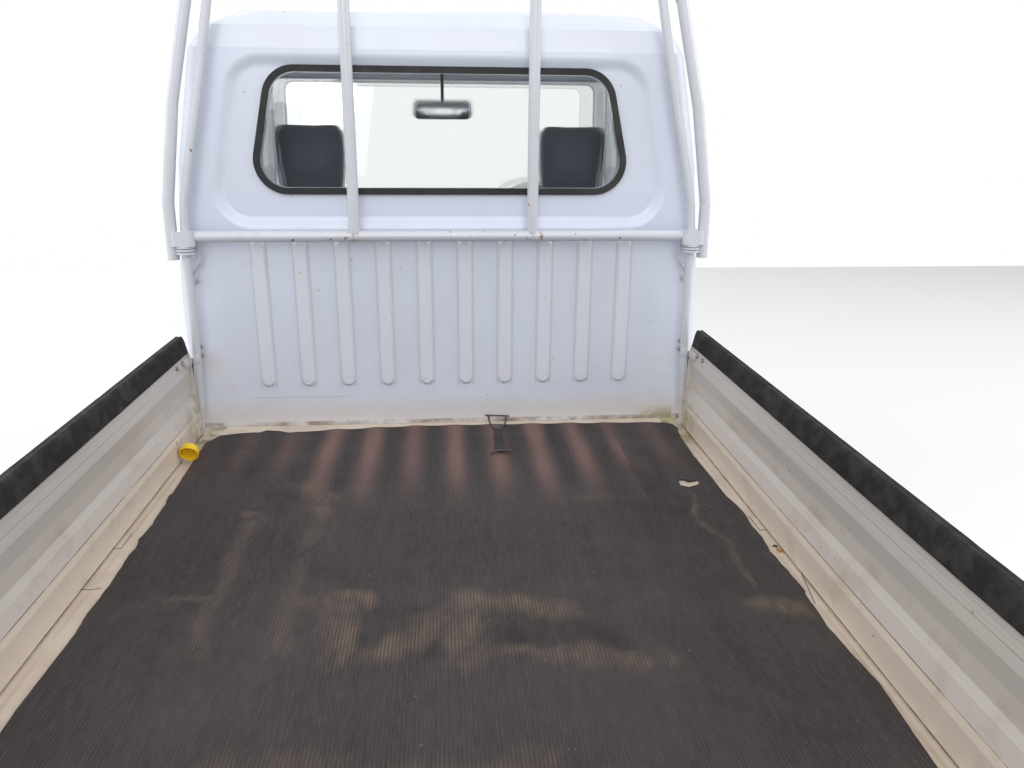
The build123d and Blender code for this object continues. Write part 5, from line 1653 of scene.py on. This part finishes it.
def makeInnerMirror():
    mirror = cab["mirror"]
    face = hitFromRear("cab_mirror", 0, mirror["z"], -0.6).y + mirror["size"][1] / 2
    glass = addBlock("innerMirrorFace", (mirror["x"], face, mirror["z"]), mirror["size"], 0.0006)
    place(glass, "chassis", "mirror_glass", 40)


makeLevers()
for number, pedal in enumerate(cab["pedals"], 1):
    makePedal(number, *pedal)
onBothSides(makeBelt)
makeInnerMirror()
print("cab fittings")


# underside: coil springs, spring bolts, flap bolts, fuel filler, exhaust joints, sump

under = {
    "coil": {"x": 0.513, "radius": 0.0275, "wire": 0.0042, "low": 0.402, "high": 0.586, "turns": 6, "turnSteps": 14},
    "uBolt": {"radius": 0.0048, "across": 0.032, "along": 0.033, "z": 0.330, "tall": 0.150, "top": 0.405,
              "wide": 0.068},
    "eye": {"out": 0.031, "in": 0.015, "z": 0.415},
    "filler": ((0.600, -0.080, 0.440), (0.650, -0.080, 0.470), (0.676, -0.080, 0.492)),
    "fillerCap": [(-0.004, 0.0003), (-0.004, 0.031), (0.010, 0.033), (0.016, 0.030), (0.018, 0.012), (0.024, 0.010),
                  (0.025, 0.0003)],
    "exhaust": {"x": -0.290, "z": 0.350, "joints": (-0.118, -0.040), "bands": (-0.0600, 0.2500),
                "band": [(-0.010, 0.0655), (-0.010, 0.0675), (0.010, 0.0675), (0.010, 0.0655)]},
    "sump": {"x": 0.02, "size": (0.30, 0.30, 0.030), "boltXs": (-0.150, 0.188), "boltYs": (-0.12, -0.04, 0.04, 0.12),
             "ribX": 0.201, "ribPitch": 0.06},
    "flapBolts": (0.18, 0.5, 0.82),  # shares of the flap's width
}


def makeCoil(side):
    coil = under["coil"]
    x, y = sides[side] * coil["x"], wheelCentres["front_left"][1]
    points = []
    count = coil["turns"] * coil["turnSteps"]
    for step in range(count + 1):
        angle = 2 * math.pi * step / coil["turnSteps"]
        z = coil["low"] + (coil["high"] - coil["low"]) * step / count
        points.append((x + coil["radius"] * math.cos(angle), y + coil["radius"] * math.sin(angle), z))
    parts = [addWire("coil", points, coil["wire"])]
    for z in (coil["low"] - 0.005, coil["high"] + 0.005):
        parts.append(addDisc("coilSeat", (x, y, z), coil["radius"] + 0.006, 0.005))
    placeJoined("coilSpring." + side, parts, "chassis", "chassis_black", 50)


def makeSpringBolts(side):
    low, high = halfBox("leaf_springs", side)
    middle = (low.x + high.x) / 2
    axleY = wheelCentres["rear_left"][1]
    bolt, eye = under["uBolt"], under["eye"]
    parts = []
    for y in (axleY - bolt["along"], axleY + bolt["along"]):
        for x in (middle - bolt["across"], middle + bolt["across"]):
            parts.append(addDisc("uBolt", (x, y, bolt["z"]), bolt["radius"], bolt["tall"], "Z", 14, 0.0008))
        parts.append(addDisc("uBoltTop", (middle, y, bolt["top"]), bolt["radius"], bolt["wide"], "X", 14))
    for y in (low.y + eye["in"], high.y - eye["in"]):
        spot = (sides[side] * (abs(middle) + eye["out"]), y, eye["z"])
        parts.append(addBolt("eyeBolt", spot, 0.010, 0.009, "X" if side == "left" else "-X"))
    placeJoined("springBolts." + side, parts, "chassis", "bare_steel", 35)


def makeFlapBolts(side):
    low, high = halfBox("mud_flaps", side)
    z, width = high.z - 0.018, high.x - low.x
    size = (width - 0.010, 0.004, 0.020)
    parts = [addBlock("clampBar", ((low.x + high.x) / 2, low.y - 0.001, z), size, 0.001, 1)]
    for share in under["flapBolts"]:
        parts.append(addBolt("flapBolt", (low.x + width * share, low.y - 0.003, z), 0.006, 0.005, "-Y"))
    placeJoined("flapBolts." + side, parts, "chassis", "bare_steel", 30)


def makeFiller():
    neck = addWire("neck", under["filler"], 0.021)
    cap = turnProfile("cap", under["fillerCap"], under["filler"][-1], "X", 32)
    placeJoined("fuelFiller", [neck, cap], "chassis", "black_plastic", 45)


def makeExhaustJoints():
    pipe = under["exhaust"]
    parts = [addDisc("joint", (pipe["x"], y, pipe["z"]), 0.034, 0.008, "Y", 28) for y in pipe["joints"]]
    parts += [turnProfile("band", pipe["band"], (pipe["x"], y, pipe["z"]), "Y", 40) for y in pipe["bands"]]
    placeJoined("exhaustBands", parts, "chassis", "bare_steel", 40)


def makeSump():
    low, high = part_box("engine_block")
    middle, z, sump = (low.y + high.y) / 2, low.z, under["sump"]
    parts = [addBlock("pan", (sump["x"], middle, z - 0.010), sump["size"], 0.012, 3),
             addBolt("plug", (sump["x"], middle + 0.05, z - 0.0245), 0.010, 0.008, "-Z")]
    for x in sump["boltXs"]:
        parts += [addBolt("panBolt", (x, middle + y, z - 0.001), 0.006, 0.005, "-Z") for y in sump["boltYs"]]
    for x in (-sump["ribX"], sump["ribX"]):
        for step in (-2, -1, 0, 1):
            parts.append(addBlock("rib", (x, middle + step * sump["ribPitch"], z + 0.14), (0.006, 0.010, 0.20)))
    placeJoined("sump", parts, "chassis", "cast_metal", 35)


onBothSides(makeCoil, makeSpringBolts, makeFlapBolts)
makeFiller()
makeExhaustJoints()
makeSump()
print("underside fittings")


# floor, lights and camera

room = {"floor": 14.0, "floorColour": (0.78, 0.78, 0.77), "skyLight": 0.66, "skyColour": (0.95, 0.98, 1.0)}


def makeFloor():
    clearSelection()
    bpy.ops.mesh.primitive_plane_add(size=room["floor"], location=(0, 0, 0))
    floor = newPiece("floor")
    finish, graph, shader = startFinish("paleFloor")
    feed(graph, shader, {"Base Color": room["floorColour"], "Roughness": 0.9})
    floor.data.materials.append(finish)


def makeSky():  # soft light, seen as plain white
    world = bpy.data.worlds.new("softSky")
    bpy.context.scene.world = world
    world.use_nodes = True
    graph = world.node_tree
    glow = graph.nodes["Background"]
    feed(graph, glow, {"Color": room["skyColour"], "Strength": room["skyLight"]})
    white = addNode(graph, "Background", {"Color": (1, 1, 1), "Strength": 1})[0]
    path = addNode(graph, "LightPath", {})
    seen = path["Is Camera Ray"]
    for ray in ("Is Glossy Ray", "Is Transmission Ray"):
        seen = addNode(graph, "Math", {0: seen, 1: path[ray]}, operation="MAXIMUM")[0]
    mix = addNode(graph, "MixShader", {0: seen, 1: glow.outputs[0], 2: white})[0]
    feed(graph, graph.nodes["World Output"], {"Surface": mix})


softboxes = {
    "overhead": {"place": (0.3, 0.9, 4.6), "aim": (0, 0.2, 0.7), "size": 5.0, "power": 66},
    "behind": {"place": (0.5, 9.0, 5.0), "aim": (0, -0.3, 1.0), "size": 6.0, "power": 380},
    "leftSide": {"place": (8.0, 0.8, 5.0), "aim": (-0.7, 0.5, 0.8), "size": 6.0, "power": 290},
    "rightSide": {"place": (-8.0, 0.8, 5.0), "aim": (0.7, 0.5, 0.8), "size": 6.0, "power": 350},
    "front": {"place": (3.5, -8.5, 4.5), "aim": (0, -1.0, 0.8), "size": 6.0, "power": 200},
}


def makeLights():
    for name, values in softboxes.items():
        clearSelection()
        bpy.ops.object.light_add(type="AREA", location=values["place"])
        softbox = newPiece(name)
        softbox.data.size = values["size"]
        softbox.data.energy = values["power"]
        aim = Vector(values["aim"]) - Vector(values["place"])
        softbox.rotation_euler = aim.to_track_quat("-Z", "Y").to_euler()


view = {  # the photo's own view; angles in degrees
    "place": (0.00115, 1.99662, 1.49977),
    "lens": 28.64,
    "down": 17.485,
    "turn": 4.827,
    "roll": 0.467,
}


def makeCamera():
    down, turn, roll = (math.radians(view[key]) for key in ("down", "turn", "roll"))
    ahead = Vector((-math.sin(turn) * math.cos(down), -math.cos(turn) * math.cos(down), -math.sin(down)))
    side = ahead.cross(axes["Z"]).normalized()
    up = side.cross(ahead)
    sideRolled = side * math.cos(roll) + up * math.sin(roll)
    upRolled = up * math.cos(roll) - side * math.sin(roll)
    turned = Matrix((sideRolled, upRolled, -ahead)).transposed()
    clearSelection()
    bpy.ops.object.camera_add(location=view["place"], rotation=turned.to_euler())
    camera = bpy.context.active_object
    camera.data.sensor_width = 36
    camera.data.lens = view["lens"]
    bpy.context.scene.camera = camera


makeFloor()
makeSky()
makeLights()
makeCamera()
bpy.context.scene.view_settings.view_transform = "Standard"
print("room, lights and camera")

clearSelection()
